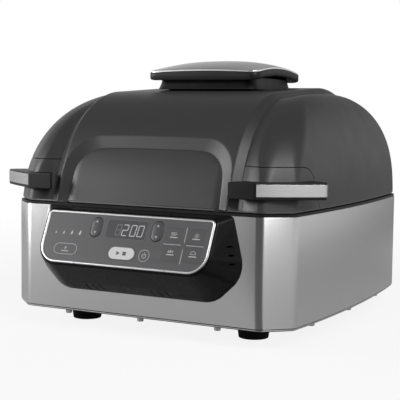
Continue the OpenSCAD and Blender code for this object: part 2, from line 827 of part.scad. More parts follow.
module lid_side(s) {
    color("#343537")
    difference() {
        intersection() {
            shell_form(0, 0);
            translate([s > 0 ? arch_w / 2 : -arch_w / 2 - 200, -400, 0]) cube([200, 800, 600]);
        }
        shell_form(lid_t, 1);
    }
}

module lid_side_left() {
    lid_side(-1);
}

module lid_side_right() {
    lid_side(1);
}

// Inner and outer radius of the heating rod's spiral, round the fan
turn_in = fan_r + 10;
turn_out = turn_in + 20;
liner_w = pot_w + 14;
liner_d = pot_d + 14;
liner_h = 70;
liner_t = 1;
liner_top = lid_z + liner_h;
module lid_frame() {
    color("#c9cbcd")
    difference() {
        union() {
            translate([0, 0, frame_z]) linear_extrude(frame_t) polygon(inset(body_outline, lid_in + 1));
            translate([0, well_y, frame_z]) linear_extrude(12) round_rect(liner_w + 5, liner_d + 5, 38);
        }
        translate([0, well_y, frame_z - 1]) linear_extrude(30)
            round_rect(liner_w + 0.1, liner_d + 0.1, 36);
    }
}

liner_collar = 12;
liner_in = liner_w / 2 - turn_out - 4;
liner_steps = 5;
// Domed liner shrunk by t: a straight collar, then a curve in to the flat top
module liner_form(t, foot) {
    dome_h = liner_h - liner_collar - t;
    loft(concat(
        [rect_ring(liner_w - 2 * t, liner_d - 2 * t, 36 - t, lid_z - foot)],
        [for (i = [0:liner_steps]) let (a = 90 * i / liner_steps, in = t + liner_in * (1 - cos(a)))
            rect_ring(liner_w - 2 * in, liner_d - 2 * in, 36 - t,
                lid_z + liner_collar + dome_h * sin(a))]));
}

module lid_liner() {
    color("#a9abad")
    difference() {
        liner_form(0, 0);
        liner_form(liner_t, 1);
        translate([0, well_y, liner_top]) cylinder(r = shaft_r + 3, h = 10, center = true, $fn = 40);
        for (p = [rod_start, rod_end]) translate([p[0], well_y + p[1], liner_top])
            cylinder(r = rod_r + 0.6, h = 60, center = true, $fn = 24);
    }
}

// ------------------------------------------------------------------ handles
wing_low = band_z1 + 16.2;
wing_front = 4.8;
wing_edge = 1;
wing_x0 = arch_w / 2 + 4;
wing_tip = half_w + wing_out;
// Plan of one wing: front edge, facet along the corner, end and root
wing_plan = [[wing_x0, front_y + 24], [wing_x0, front_y - wing_front],
    [corner_front[0] - 7.4, front_y - wing_front], [wing_tip, front_y + 35.2],
    [wing_tip - 3, front_y + 45], [half_w - 8, front_y + 60], [corner_side[0] - 24, front_y + 54]];
trim_t = 1.5;
trim_low = 3;
trim_h = wing_h - trim_low - 1.8;
trim_a = wing_plan[2];
trim_b = wing_plan[3];
trim_n = edge_normal(trim_a, trim_b);

module wing_form() {
    // bevelled along the top and bottom edges of the outside
    hull() {
        translate([0, 0, wing_low]) linear_extrude(wing_h) polygon(inset(wing_plan, wing_edge));
        translate([0, 0, wing_low + wing_edge]) linear_extrude(wing_h - 2 * wing_edge) polygon(wing_plan);
    }
}

module trim_strip() {
    translate([0, 0, wing_low + trim_low]) linear_extrude(trim_h)
        polygon([trim_a - trim_t * trim_n, trim_a + trim_n, trim_b + [3, 0] + trim_n, trim_b + [3, -2],
            trim_b + [3, 0], wing_plan[4] + [3, 0], wing_plan[4] - [trim_t, 0],
            trim_b - trim_t * trim_n - [0.6, 0]]);
}

module wing(s) {
    mirror([s < 0 ? 1 : 0, 0, 0]) difference() {
        wing_form();
        shell_form(0, 0);
        trim_strip();
        // hollow for the fingertips under the wing
        translate([0, 0, wing_low - 1]) linear_extrude(6) polygon(inset(wing_plan, 4));
    }
}

module handle_left() {
    color("#111113") wing(-1);
}

module handle_right() {
    color("#111113") wing(1);
}

module handle_trim(s) {
    mirror([s < 0 ? 1 : 0, 0, 0]) intersection() {
        trim_strip();
        wing_form();
    }
}

module handle_trim_left() {
    color("#c4c6c8") handle_trim(-1);
}

module handle_trim_right() {
    color("#c4c6c8") handle_trim(1);
}

// ------------------------------------------------------------------ top cap
cap_y = front_y + 190;
cap_edge_z = arch_z + 15;
cap_side_drop = 2.5;
cap_low = arch_z + 6;
cap_plate_t = 1.6;
cap_top = cap_edge_z + cap_crown;
cap_corner_r = 10;
crown_shares = [0.985, 0.9, 0.75, 0.55, 0.3, 0.1];

// Height of the crowned surface over a plan point, dropped by t
function crown_z(p, t) = cap_top - t - cap_crown * pow(2 * p[1] / cap_d, 2)
    - cap_side_drop * pow(2 * p[0] / cap_w, 2);
cap_plan = [for (p = rect_ring(cap_w, cap_d, cap_corner_r, 0)) [p[0], p[1] - well_y]];
function crown_ring(share, t) = [for (p = cap_plan)
    [p[0] * share, cap_y + p[1] * share, crown_z(p * share, t)]];
function flat_ring(share, z) = [for (p = cap_plan) [p[0] * share, cap_y + p[1] * share, z]];

module cap_plate() {
    color("#cfd1d3")
    loft(concat(
        [flat_ring(0.1, cap_top - cap_plate_t)],
        [for (i = [len(crown_shares) - 2:-1:0]) crown_ring(crown_shares[i], cap_plate_t)],
        [for (i = [0:len(crown_shares) - 2]) crown_ring(crown_shares[i], 0)],
        [flat_ring(0.1, cap_top)]));
}

module cap_rim() {
    color("#1b1b1d")
    difference() {
        loft(concat(
            [flat_ring(0.985, cap_low), flat_ring(1, cap_low + 1.5),
                crown_ring(1, cap_plate_t + seat_gap)],
            [for (i = [0:len(crown_shares) - 2]) crown_ring(crown_shares[i], cap_plate_t + seat_gap)],
            [flat_ring(0.1, cap_top - cap_plate_t - seat_gap)]));
        translate([0, cap_y, cap_low - 1]) linear_extrude(6) round_rect(cap_w - 10, cap_d - 10, 10);
    }
}

pedestal_w = cap_w - 17;
pedestal_d = cap_d - 17;
pedestal_wall = 4;
pedestal_low = arch_z - roof_rise - 4;
pedestal_h = cap_low + 5 - pedestal_low;
module cap_pedestal() {
    color("#121214")
    difference() {
        translate([0, cap_y, pedestal_low]) linear_extrude(pedestal_h)
            round_rect(pedestal_w, pedestal_d, cap_corner_r);
        translate([0, cap_y, pedestal_low - 1]) linear_extrude(pedestal_h - 1)
            round_rect(pedestal_w - 2 * pedestal_wall, pedestal_d - 2 * pedestal_wall, 8);
        // air slots along the rear
        for (i = [-4:4])
            translate([i * 11, cap_y + pedestal_d / 2, arch_z + 3]) cube([6, 20, 3], center = true);
        across(400) polygon(arch_profile);
    }
}

// ----------------------------------------------------------- fan and heater
motor_z = liner_top + 6;
motor_h = 22;
motor_r = 30;
fan_z = liner_top - 24;
fan_h = 16;
cool_z = motor_z + motor_h + 1.5;
cool_h = 7;
cool_r = 32;
shaft_top = cool_z + cool_h;
shaft_low = fan_z - 3;

module motor_bracket() {
    color("#b5b7b9")
    translate([0, well_y, 0]) difference() {
        union() {
            translate([0, 0, motor_z - 2]) linear_extrude(2) round_rect(120, 40, 8);
            for (s = [-1, 1]) translate([s * 50, 0, liner_top])
                cylinder(r = 5, h = motor_z - 2 - liner_top, $fn = 24);
        }
        translate([0, 0, motor_z - 3]) cylinder(r = shaft_r + 3, h = 6, $fn = 40);
    }
}

module fan_motor() {
    color("#8f9194")
    translate([0, well_y, motor_z]) difference() {
        union() {
            cylinder(r = motor_r, h = motor_h, $fn = 64);
            for (s = [-1, 1]) translate([s * (motor_r + 3), 0, 0]) cylinder(r = 6, h = 3, $fn = 24);
        }
        translate([0, 0, -1]) cylinder(r = shaft_r + run_gap, h = motor_h + 2, $fn = 48);
    }
}

module motor_shaft() {
    color("#9a9c9f")
    translate([0, well_y, shaft_low]) cylinder(r = shaft_r, h = shaft_top - shaft_low, $fn = 48);
}

module convection_fan() {
    color("#b8babc")
    translate([0, well_y, fan_z]) difference() {
        union() {
            cylinder(r = fan_r, h = 1.2, $fn = 64);
            cylinder(r = 11, h = fan_h, $fn = 40);
            for (i = [0:blade_count - 1]) rotate(i * 360 / blade_count)
                translate([10, -0.75, 0]) cube([fan_r - 11, 1.5, fan_h]);
        }
        translate([0, 0, -1]) cylinder(r = shaft_r, h = fan_h + 2, $fn = 48);
    }
}

module cooling_fan() {
    color("#26272a")
    translate([0, well_y, cool_z]) difference() {
        union() {
            cylinder(r = 9, h = cool_h, $fn = 40);
            cylinder(r = cool_r, h = 1, $fn = 64);
            for (i = [0:blade_count - 1]) rotate(i * 360 / blade_count)
                translate([8, -0.6, 0]) cube([cool_r - 9, 1.2, cool_h]);
        }
        translate([0, 0, -1]) cylinder(r = shaft_r, h = cool_h + 2, $fn = 48);
    }
}

// Heating rod: a flat spiral of about two turns with both ends turned up through the liner
rod_r = 3.2;
rod_z = fan_z - 12;
rod_sides = 8;
spiral_steps = 64;
leg_angle = 262;
leg_apart = 16;
function spiral_point(t) = let (a = leg_angle + (720 + leg_apart) * t,
    r = turn_in + (turn_out - turn_in) * t)
    [r * cos(a), r * sin(a), rod_z];
spiral_path = [for (i = [0:spiral_steps]) spiral_point(i / spiral_steps)];
rod_start = spiral_path[0];
rod_end = spiral_path[spiral_steps];
rod_path = concat([[rod_start[0], rod_start[1], liner_top + 8], [rod_start[0], rod_start[1], rod_z + 8]],
    [for (i = [1:spiral_steps - 1]) spiral_path[i]],
    [[rod_end[0], rod_end[1], rod_z + 8], [rod_end[0], rod_end[1], liner_top + 8]]);
function path_tangent(p, i) = unit(p[min(i + 1, len(p) - 1)] - p[max(i - 1, 0)]);
function tube_ring(p, i, r) = let (t = path_tangent(p, i),
    c = unit([p[i][0], p[i][1], 0]), side = unit(c - t * (c * t)), up = cross(t, side))
    [for (k = [0:rod_sides - 1]) let (a = 360 * k / rod_sides) p[i] + r * (side * cos(a) + up * sin(a))];

module heating_element() {
    color("#4b3a36")
    translate([0, well_y, 0]) loft([for (i = [len(rod_path) - 1:-1:0]) tube_ring(rod_path, i, rod_r)]);
}

clip_angles = [20, 140, 200, 340];
module element_clips() {
    color("#a9abad")
    translate([0, well_y, 0]) for (a = clip_angles) rotate(a) {
        translate([turn_in - 7, -3, rod_z - rod_r - 1.6]) cube([turn_out - turn_in + 14, 6, 1.3]);
        translate([turn_out + 6, -3, rod_z - rod_r - 1.6])
            cube([1.3, 6, liner_top - liner_t - rod_z + rod_r + 1.6]);
    }
}

shield_z = rod_z - 16;
shield_w = liner_w - 44;
shield_d = liner_d - 44;
shield_pitch = 22;
module splatter_shield() {
    color("#bfc1c3")
    difference() {
        union() {
            translate([0, well_y, shield_z]) linear_extrude(1.2) round_rect(shield_w, shield_d, 30);
            // four feet that snap onto the clips in the liner
            for (a = clip_angles) translate([0, well_y, 0]) rotate(a)
                translate([turn_out + 2, -4, shield_z]) cube([2, 8, rod_z - rod_r - 1.6 - shield_z]);
        }
        for (i = [-4:4], j = [-4:4])
            translate([i * shield_pitch, well_y + j * shield_pitch, shield_z - 1]) linear_extrude(4)
                square([14, 9], center = true);
    }
}

sensor_z = lid_z + 6;
sensor_l = 32;
module temperature_sensor() {
    color("#caccce")
    translate([liner_w / 2 - liner_t, well_y + 40, sensor_z]) rotate([0, -90, 0]) {
        cylinder(r = 2.2, h = sensor_l, $fn = 24);
        cylinder(r = 5, h = 1.5, $fn = 32);
    }
}

steel_band();
base_plate();
feet();
rim_trim();
inner_well();
cooking_pot();
grill_grate();
control_housing();
fascia();
fascia_trim();
display_window();
control_board();
power_board();
cord_gland();
rear_vent();
hinge_bracket();
hinge_pin();
base_screws();
temp_rocker();
time_rocker();
grill_button();
start_stop_button();
power_button();
function_key(0);  // function_key_1
function_key(1);  // function_key_2
function_key(2);  // function_key_3
function_key(3);  // function_key_4
lid_side_left();
lid_side_right();
lid_arch();
lid_front_panel();
lid_frame();
lid_liner();
handle_left();
handle_right();
handle_trim_left();
handle_trim_right();
cap_pedestal();
cap_rim();
cap_plate();
motor_bracket();
fan_motor();
heating_element();
element_clips();
splatter_shield();
temperature_sensor();
lid_hinge_arm();
motor_shaft();
convection_fan();
cooling_fan();
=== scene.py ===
"""Looks of a countertop electric grill with a hinged lid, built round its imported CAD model.

Lengths are millimetres in the CAD's frame, and add_object turns them into metres.
"""

import json
import math
from bisect import bisect_right

import bmesh
import bpy
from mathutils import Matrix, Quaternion, Vector
from mathutils.geometry import delaunay_2d_cdt

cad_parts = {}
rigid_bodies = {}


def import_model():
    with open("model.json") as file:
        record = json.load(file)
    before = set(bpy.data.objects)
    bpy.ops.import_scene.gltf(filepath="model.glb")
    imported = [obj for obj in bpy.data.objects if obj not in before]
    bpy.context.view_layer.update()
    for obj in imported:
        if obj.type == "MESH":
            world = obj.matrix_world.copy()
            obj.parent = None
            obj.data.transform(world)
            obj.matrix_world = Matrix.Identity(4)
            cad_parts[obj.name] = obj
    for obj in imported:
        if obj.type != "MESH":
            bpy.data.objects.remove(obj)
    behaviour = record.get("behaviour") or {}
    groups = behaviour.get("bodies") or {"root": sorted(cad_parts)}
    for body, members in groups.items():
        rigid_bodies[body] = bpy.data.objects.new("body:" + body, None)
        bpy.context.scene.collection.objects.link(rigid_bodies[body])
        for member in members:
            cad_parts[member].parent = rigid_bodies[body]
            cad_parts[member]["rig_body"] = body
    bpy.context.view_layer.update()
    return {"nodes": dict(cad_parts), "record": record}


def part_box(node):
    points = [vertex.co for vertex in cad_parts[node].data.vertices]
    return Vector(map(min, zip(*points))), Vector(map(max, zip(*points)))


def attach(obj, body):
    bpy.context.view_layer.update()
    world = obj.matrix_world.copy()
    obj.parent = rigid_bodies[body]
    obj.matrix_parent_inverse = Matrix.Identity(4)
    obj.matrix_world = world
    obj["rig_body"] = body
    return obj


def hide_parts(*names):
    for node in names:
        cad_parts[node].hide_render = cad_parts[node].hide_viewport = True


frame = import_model()
nodes = frame["nodes"]
slot_of = {part["node"]: part["material_slot"] for part in frame["record"]["subparts"]}
body_of = {name: node["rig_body"] for name, node in nodes.items()}
replaced = set()
MM = 0.001


# ---- sizes
def box_mm(node):
    low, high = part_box(node)
    return [v / MM for v in low], [v / MM for v in high]


band_low, band_high = box_mm("steel_band")
HALF_W = band_high[0]
FRONT, REAR = band_low[1], band_high[1]
DEPTH = REAR - FRONT
BAND_Z0, BAND_Z1 = band_low[2], band_high[2]
WIDE_Y = FRONT + 0.425 * DEPTH  # where the bowed sides are widest
SIDE_BOW = 11.0
SIDE_END = 60.0  # the bowed side ends this far from the front and the rear
CORNER_X, CORNER_Y = 26.0, 24.0  # facets at the front corners
REAR_X, REAR_Y = 32.0, 27.0  # facets at the rear corners
FACET_R, SIDE_R, REAR_R = 16.0, 10.0, 22.0  # roundings of the facets' edges
arch_low, arch_high = box_mm("lid_arch")
LID_Z, ARCH_Z = arch_low[2], arch_high[2]
ARCH_H = ARCH_Z - LID_Z
ARCH_HALF = arch_high[0]
SHELL_H = 114.5
ROOF_RISE = 6.7  # of the arch's top from front to rear
LID_IN = 2.0  # the lid's foot stands in from the wrap
LID_MID = FRONT + 190.0
# Slopes of the lid as lean_in takes them: lean of the foot, depth of the curve, its power
ARCH_FRONT, ARCH_REAR = (32, 88, 2.8), (10, 120, 3)
SHELL_SIDE, SHELL_FRONT, SHELL_REAR = (0, 60, 2.6), (28, 130, 2.8), (10, 95, 2.7)


# ---- outlines
def side_x(y):
    return HALF_W - SIDE_BOW * ((y - WIDE_Y) / (DEPTH / 2)) ** 2


def fillet(a, b, c, r, n):
    """The corner at b between the lines to a and c, rounded in n steps."""
    a, b, c = Vector(a), Vector(b), Vector(c)
    u, v = (a - b).normalized(), (c - b).normalized()
    half = math.acos(max(-1, min(1, u.dot(v)))) / 2
    mid = b + (u + v).normalized() * r / math.sin(half)
    p, q = b + u * r / math.tan(half) - mid, b + v * r / math.tan(half) - mid
    return [mid + r * (p * (1 - i / n) + q * (i / n)).normalized() for i in range(n + 1)]


def flip(points):
    return [Vector((-p[0], p[1])) for p in reversed(points)]


def moved(points, x, y):
    return [Vector((p[0] + x, p[1] + y)) for p in points]


def inset(points, d):
    """Shrinks a counter-clockwise outline by d along its edge normals."""
    out = []
    n = len(points)
    for i in range(n):
        before = (points[i] - points[i - 1]).normalized()
        after = (points[(i + 1) % n] - points[i]).normalized()
        a, b = Vector((before.y, -before.x)), Vector((after.y, -after.x))
        out.append(points[i] - d * (a + b) / (1 + a.dot(b)))
    return out


def beside(points, d):
    """An open line moved by d to the right of its run."""
    out = []
    for i, p in enumerate(points):
        run = (points[min(i + 1, len(points) - 1)] - points[max(i - 1, 0)]).normalized()
        out.append(p + Vector((run.y, -run.x)) * d)
    return out


def half_plan(facet_r, side_r, fine, side_steps):
    """Right half of the body's plan in five pieces, from the front to the rear."""
    near, far = FRONT + CORNER_Y, REAR - REAR_Y
    start, end = FRONT + SIDE_END, REAR - SIDE_END
    front_corner, side_corner = (side_x(near) - CORNER_X, FRONT), (side_x(near), near)
    rear_side, rear_corner = (side_x(far), far), (side_x(far) - REAR_X, REAR)
    side = [start + (end - start) * i / side_steps for i in range(side_steps + 1)]
    return [
        fillet((0, FRONT), front_corner, side_corner, facet_r, fine),
        fillet(front_corner, side_corner, (side_x(start), start), side_r, fine),
        [Vector((side_x(y), y)) for y in side],
        fillet((side_x(end), end), rear_side, rear_corner, REAR_R, fine),
        fillet(rear_side, rear_corner, (0, REAR), REAR_R, fine),
    ]


def body_outline():
    half = [p for piece in half_plan(FACET_R, SIDE_R, 12, 28) for p in piece]
    return half + flip(half)


def rounded_rect(w, d, r, steps=10):
    out = []
    for q, (sx, sy) in enumerate(((1, 1), (-1, 1), (-1, -1), (1, -1))):
        for i in range(steps + 1):
            a = math.radians(90 * q + 90 * i / steps)
            out.append(Vector((sx * (w / 2 - r) + r * math.cos(a), sy * (d / 2 - r) + r * math.sin(a))))
    return out


def stadium(w, h, steps=14):
    return rounded_rect(w, h, min(w, h) / 2 - 0.001, steps)


def circle(x, y, r, steps):
    turns = [math.tau * i / steps for i in range(steps)]
    return [Vector((x + r * math.cos(a), y + r * math.sin(a))) for a in turns]


def lean_in(u, lean, depth, power):
    """How far a slope of the lid stands in at u, from 0 at its foot to 1 at its top."""
    return lean * u + depth * (1 - math.sqrt(max(0.0, 1 - u**power)))


def denser_up(i, n):
    """Step i of n from 0 to 1, in steps that get smaller towards 1."""
    return 1 - (1 - i / n) ** 2


def smooth_step(f):
    return f * f * (3 - 2 * f)


def flat_rings(points, steps):
    """Level rings of one outline, from pairs of inset and height."""
    return [[(p.x, p.y, z) for p in inset(points, d)] for d, z in steps]


def both_ends(low, high, steps):
    """The steps of a rounding, as inset and distance from the end, at both ends of a range."""
    return [(d, low + h) for d, h in steps] + [(d, high - h) for d, h in reversed(steps)]


# ---- meshes
def loft(rings, closed=False, caps=True):
    """Joins rings with as many points each. closed joins the last ring to the first."""
    n, m = len(rings[0]), len(rings)
    verts = [p for ring in rings for p in ring]
    faces = []
    for k in range(m if closed else m - 1):
        a, b = k * n, (k + 1) % m * n
        for i in range(n):
            j = (i + 1) % n
            faces.append((a + i, a + j, b + j, b + i))
    if caps and not closed:
        faces.append(tuple(reversed(range(n))))
        faces.append(tuple(range((m - 1) * n, m * n)))
    return verts, faces


def add_object(name, verts, faces):
    mesh = bpy.data.meshes.new(name)
    mesh.from_pydata([Vector(v) * MM for v in verts], [], faces)
    mesh.validate()
    ob = bpy.data.objects.new(name, mesh)
    bpy.context.scene.collection.objects.link(ob)
    return ob


def edit(ob, change):
    bm = bmesh.new()
    bm.from_mesh(ob.data)
    change(bm)
    bm.to_mesh(ob.data)
    bm.free()
    ob.data.update()


def fix_normals(bm):
    bmesh.ops.recalc_face_normals(bm, faces=bm.faces)


def lofted(name, *shapes, closed=False):
    """An object of one or more lofts, each given as its rings."""
    verts, faces = [], []
    for rings in shapes:
        points, joined = loft(rings, closed)
        faces += [tuple(i + len(verts) for i in face) for face in joined]
        verts += points
    ob = add_object(name, verts, faces)
    edit(ob, fix_normals)
    return ob


def hull(name, points):
    """The convex hull of points, with its flat sides merged."""
    ob = add_object(name, [], [])

    def change(bm):
        for p in points:
            bm.verts.new(Vector(p) * MM)
        made = bmesh.ops.convex_hull(bm, input=bm.verts)
        spare = {
            e for k in ("geom_interior", "geom_unused") for e in made[k] if isinstance(e, bmesh.types.BMVert)
        }
        bmesh.ops.delete(bm, geom=list(spare), context="VERTS")
        bmesh.ops.remove_doubles(bm, verts=bm.verts, dist=0.00001)
        bmesh.ops.dissolve_limit(bm, angle_limit=0.004, verts=bm.verts, edges=bm.edges)
        fix_normals(bm)

    edit(ob, change)
    return ob


def box_cutter(name, mid, size, lean=0.0):
    """A box turned about X by lean, for a slot."""
    turn = Quaternion((1, 0, 0), lean)
    signs = [(x, y, z) for x in (-1, 1) for y in (-1, 1) for z in (-1, 1)]
    return hull(name, [Vector(mid) + turn @ Vector([s * v / 2 for s, v in zip(sign, size)]) for sign in signs])


def inside(point, loop):
    hit = False
    for a, b in zip(loop, loop[1:] + loop[:1]):
        if (a.y > point.y) != (b.y > point.y) and point.x < (b.x - a.x) * (point.y - a.y) / (b.y - a.y) + a.x:
            hit = not hit
    return hit


def middle(verts, face):
    return sum((verts[i] for i in face), Vector((0, 0))) / len(face)


def triangulate(points, chains):
    """Delaunay triangles of loose points and chained points that stay as edges."""
    verts, edges = [], []
    for chain in chains:
        start = len(verts)
        verts += [Vector((p[0], p[1])) for p in chain]
        edges += [(i, i + 1) for i in range(start, len(verts) - 1)]
    verts += [Vector((p[0], p[1])) for p in points]
    out = delaunay_2d_cdt(verts, edges, [], 0, 1e-4)
    return out[0], out[2]


def smooth(ob, angle):
    """Smooth shading, with edges sharper than the angle in degrees kept hard."""
    limit = math.radians(angle)

    def change(bm):
        for face in bm.faces:
            face.smooth = True
        for edge in bm.edges:
            edge.smooth = len(edge.link_faces) == 2 and edge.calc_face_angle(math.pi) < limit

    edit(ob, change)


def modify(ob, *stack):
    """Applies modifiers, each given as its kind and its settings."""
    for kind, settings in stack:
        mod = ob.modifiers.new(kind.lower(), kind)
        for key, value in settings.items():
            setattr(mod, key, value)
    graph = bpy.context.evaluated_depsgraph_get()
    mesh = bpy.data.meshes.new_from_object(ob.evaluated_get(graph))
    ob.modifiers.clear()
    ob.data = mesh


def bevel(ob, width, angle):
    modify(ob, ("BEVEL", {
        "width": width * MM, "segments": 2, "limit_method": "ANGLE", "angle_limit": math.radians(angle),
        "use_clamp_overlap": True, "miter_outer": "MITER_ARC",
    }))


def solidify(ob, thickness):
    modify(ob, ("SOLIDIFY", {"thickness": thickness * MM, "offset": -1}))


def cut(ob, *cutters):
    modify(ob, *[
        ("BOOLEAN", {"operation": "DIFFERENCE", "solver": "EXACT", "object": cutter}) for cutter in cutters
    ])
    for cutter in cutters:
        bpy.data.objects.remove(cutter)


def finish_piece(ob, material, body, replaces=None, slot=None, angle=32, even=False):
    """Shades and paints a piece, attaches it to its body and hides the CAD node it replaces. even lets its
    larger faces set the shading of its edges.
    """
    smooth(ob, angle)
    if even:
        modify(ob, ("WEIGHTED_NORMAL", {"keep_sharp": True, "mode": "FACE_AREA"}))
    ob.data.materials.clear()
    ob.data.materials.append(material)
    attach(ob, body)
    if replaces:
        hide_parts(replaces)
        replaced.add(replaces)
        slot = slot or slot_of[replaces]


def stand_in(ob, node, **keys):
    """Finishes a piece that stands for a CAD node, in the node's own material."""
    finish_piece(ob, material_of(node), body_of[node], node, **keys)


def dress(node, material, width):
    """A finished copy of a CAD node: welded, flats merged, edges rounded by width."""
    ob = bpy.data.objects.new(node + "_finish", nodes[node].data.copy())
    bpy.context.scene.collection.objects.link(ob)

    def change(bm):
        bmesh.ops.remove_doubles(bm, verts=bm.verts, dist=0.00002)
        bmesh.ops.dissolve_limit(
            bm, angle_limit=math.radians(0.7), use_dissolve_boundaries=False, verts=bm.verts, edges=bm.edges
        )

    edit(ob, change)
    if width:
        bevel(ob, width, 32)
    finish_piece(ob, material, body_of[node], node, even=width > 0)


# ---- materials
looks = {}


class Nodes:
    """Short calls that add nodes to a tree."""

    def __init__(self, tree):
        self.tree = tree

    def link(self, a, b):
        self.tree.links.new(a, b)

    def node(self, kind, inputs=None, **settings):
        """A new node. Each of the inputs, by name or number, is linked to a socket or set to a value."""
        made = self.tree.nodes.new(kind)
        for key, value in settings.items():
            setattr(made, key, value)
        for key, value in (inputs or {}).items():
            if isinstance(value, bpy.types.NodeSocket):
                self.link(value, made.inputs[key])
            else:
                made.inputs[key].default_value = value
        return made

    def maths(self, kind, *values):
        return self.node("ShaderNodeMath", dict(enumerate(values)), operation=kind).outputs[0]

    def span(self, source, low, high, start=0.3, end=0.7, **settings):
        """Maps start..end of a value to low..high."""
        inputs = {"Value": source, "From Min": start, "From Max": end, "To Min": low, "To Max": high}
        return self.node("ShaderNodeMapRange", inputs, **settings).outputs["Result"]

    def mix(self, factor, a, b, **settings):
        """Mixes two colours."""
        return self.node("ShaderNodeMix", {0: factor, 6: a, 7: b}, data_type="RGBA", **settings).outputs[2]


class Look(Nodes):
    """A node material with short calls for what every surface here needs."""

    def __init__(self, name, color, rough, metallic=0.0, gloss=0.5):
        self.mat = bpy.data.materials.new(name)
        self.mat.use_nodes = True
        super().__init__(self.mat.node_tree)
        self.inputs = self.tree.nodes["Principled BSDF"].inputs
        self.inputs["Metallic"].default_value = metallic
        self.inputs["Base Color"].default_value = (*color, 1)
        self.inputs["Roughness"].default_value = rough
        self.inputs["Specular IOR Level"].default_value = gloss
        self.coord = self.node("ShaderNodeTexCoord").outputs["Object"]
        looks[name] = self

    def noise(self, scale, detail=2.0, rough=0.5):
        """Noise over the object, scale in cycles per metre, one number or three."""
        scale = scale if isinstance(scale, tuple) else (scale,) * 3
        place = self.node("ShaderNodeMapping", {"Vector": self.coord, "Scale": scale}).outputs["Vector"]
        inputs = {"Vector": place, "Scale": 1, "Detail": detail, "Roughness": rough}
        return self.node("ShaderNodeTexNoise", inputs).outputs["Fac"]

    def vary_color(self, factor, other):
        """Mixes the base colour with another by a factor from 0 to 1."""
        color = self.inputs["Base Color"]
        before = color.links[0].from_socket if color.is_linked else color.default_value
        self.link(self.mix(factor, before, (*other, 1)), color)

    def bump(self, height, strength, distance):
        inputs = {"Strength": strength, "Distance": distance, "Height": height}
        self.link(self.node("ShaderNodeBump", inputs).outputs["Normal"], self.inputs["Normal"])

    def wear(self, other):
        """Another colour along raised edges, by half."""
        edge = self.node("ShaderNodeNewGeometry").outputs["Pointiness"]
        self.vary_color(self.span(edge, 0.0, 0.5, 0.53, 0.62), other)


def shade(color, share):
    """A colour darkened by a share."""
    return tuple(c * (1 - share) for c in color)


def plastic(name, color, rough, grain=900.0, grain_depth=0.00002, blotch=0.06, edge=None, gloss=0.4):
    """Moulded plastic: fine spark-eroded grain, soft variation in gloss and worn edges."""
    look = Look(name, color, rough, gloss=gloss)
    look.vary_color(look.span(look.noise(18.0, 3.0), 0.0, 1.0), shade(color, blotch * 2))
    gloss_map = look.span(look.noise(35.0, 4.0, 0.6), rough - blotch, rough + blotch)
    look.link(gloss_map, look.inputs["Roughness"])
    look.bump(look.noise(grain, 2.0, 0.6), 0.25, grain_depth)
    look.wear(edge or tuple(min(1.0, c * 1.6 + 0.01) for c in color))


def metal(name, color, rough, along, spread=0.05, streak=0.05, tangent=None, anisotropy=0.0, groove=0.12):
    """Brushed sheet: fine lines along one direction, given as noise scales per metre."""
    look = Look(name, color, rough, 1.0)
    lines = look.noise(along, 3.0, 0.7)
    broad = look.noise(tuple(s / 7 for s in along), 3.0, 0.6)
    look.vary_color(look.span(lines, 0.0, 1.0, 0.25, 0.75), shade(color, streak * 2))
    look.vary_color(look.span(broad, 0.0, 0.7, 0.35, 0.75), shade(color, streak))
    look.link(look.span(lines, rough - spread, rough + spread, 0.2, 0.8), look.inputs["Roughness"])
    look.bump(lines, groove, 0.00001)
    if anisotropy:
        look.inputs["Anisotropic"].default_value = anisotropy
        direction = look.node("ShaderNodeCombineXYZ", dict(zip("XYZ", tangent)))
        look.link(direction.outputs["Vector"], look.inputs["Tangent"])


plastic("black_plastic", (0.01, 0.01, 0.011), 0.42, gloss=0.3)
plastic("lid_plastic", (0.044, 0.0432, 0.0445), 0.42, blotch=0.03, gloss=0.5)
plastic("gloss_black", (0.005, 0.005, 0.006), 0.26, 300.0, 0.00001, blotch=0.03, gloss=0.12)
plastic("fascia_grey", (0.092, 0.092, 0.096), 0.4, 1400.0, blotch=0.03)
plastic("display_dark", (0.085, 0.085, 0.09), 0.25, 300.0, 0.000005, blotch=0.03)
plastic("key_dark", (0.088, 0.088, 0.092), 0.4, 1400.0, blotch=0.03)
plastic("key_white", (0.78, 0.78, 0.78), 0.35, blotch=0.03, edge=(0.7, 0.7, 0.7))
plastic("print_white", (0.62, 0.62, 0.63), 0.5, blotch=0.02, edge=(0.55, 0.55, 0.55))
plastic("print_ghost", (0.15, 0.15, 0.155), 0.4, blotch=0.02)
plastic("print_dark", (0.09, 0.09, 0.09), 0.5, blotch=0.02)
plastic("rubber_foot", (0.006, 0.006, 0.006), 0.7, 600.0, 0.00005, gloss=0.2)
plastic("nonstick", (0.035, 0.035, 0.037), 0.5, 1600.0, 0.00003)
plastic("grate_coat", (0.026, 0.026, 0.027), 0.55, 900.0, 0.00006)
plastic("board_green", (0.02, 0.1, 0.05), 0.5, 400.0)
metal(
    "brushed_steel_wrap", (0.61, 0.607, 0.61), 0.24, (8, 8, 2600), spread=0.02, streak=0.02,
    tangent=(0, 0, 1), anisotropy=0.93, groove=0.05,
)
metal("steel_sheet", (0.56, 0.565, 0.575), 0.34, (14, 900, 900))
metal("bright_trim", (0.7, 0.7, 0.7), 0.34, (40, 1500, 1500), streak=0.02)
metal("cap_steel", (0.86, 0.86, 0.865), 0.32, (10, 2400, 2400), tangent=(0, 1, 0), anisotropy=0.6)
metal("wing_trim", (0.72, 0.72, 0.722), 0.28, (10, 10, 2400), tangent=(0, 0, 1), anisotropy=0.7)
metal("frame_sheet", (0.2, 0.2, 0.205), 0.45, (14, 900, 900))
metal("zinc_screw", (0.5, 0.5, 0.48), 0.4, (500, 500, 500))
metal("rod_dark", (0.16, 0.13, 0.12), 0.55, (200, 200, 200))
metal("aluminium_fan", (0.7, 0.7, 0.71), 0.36, (900, 900, 30))
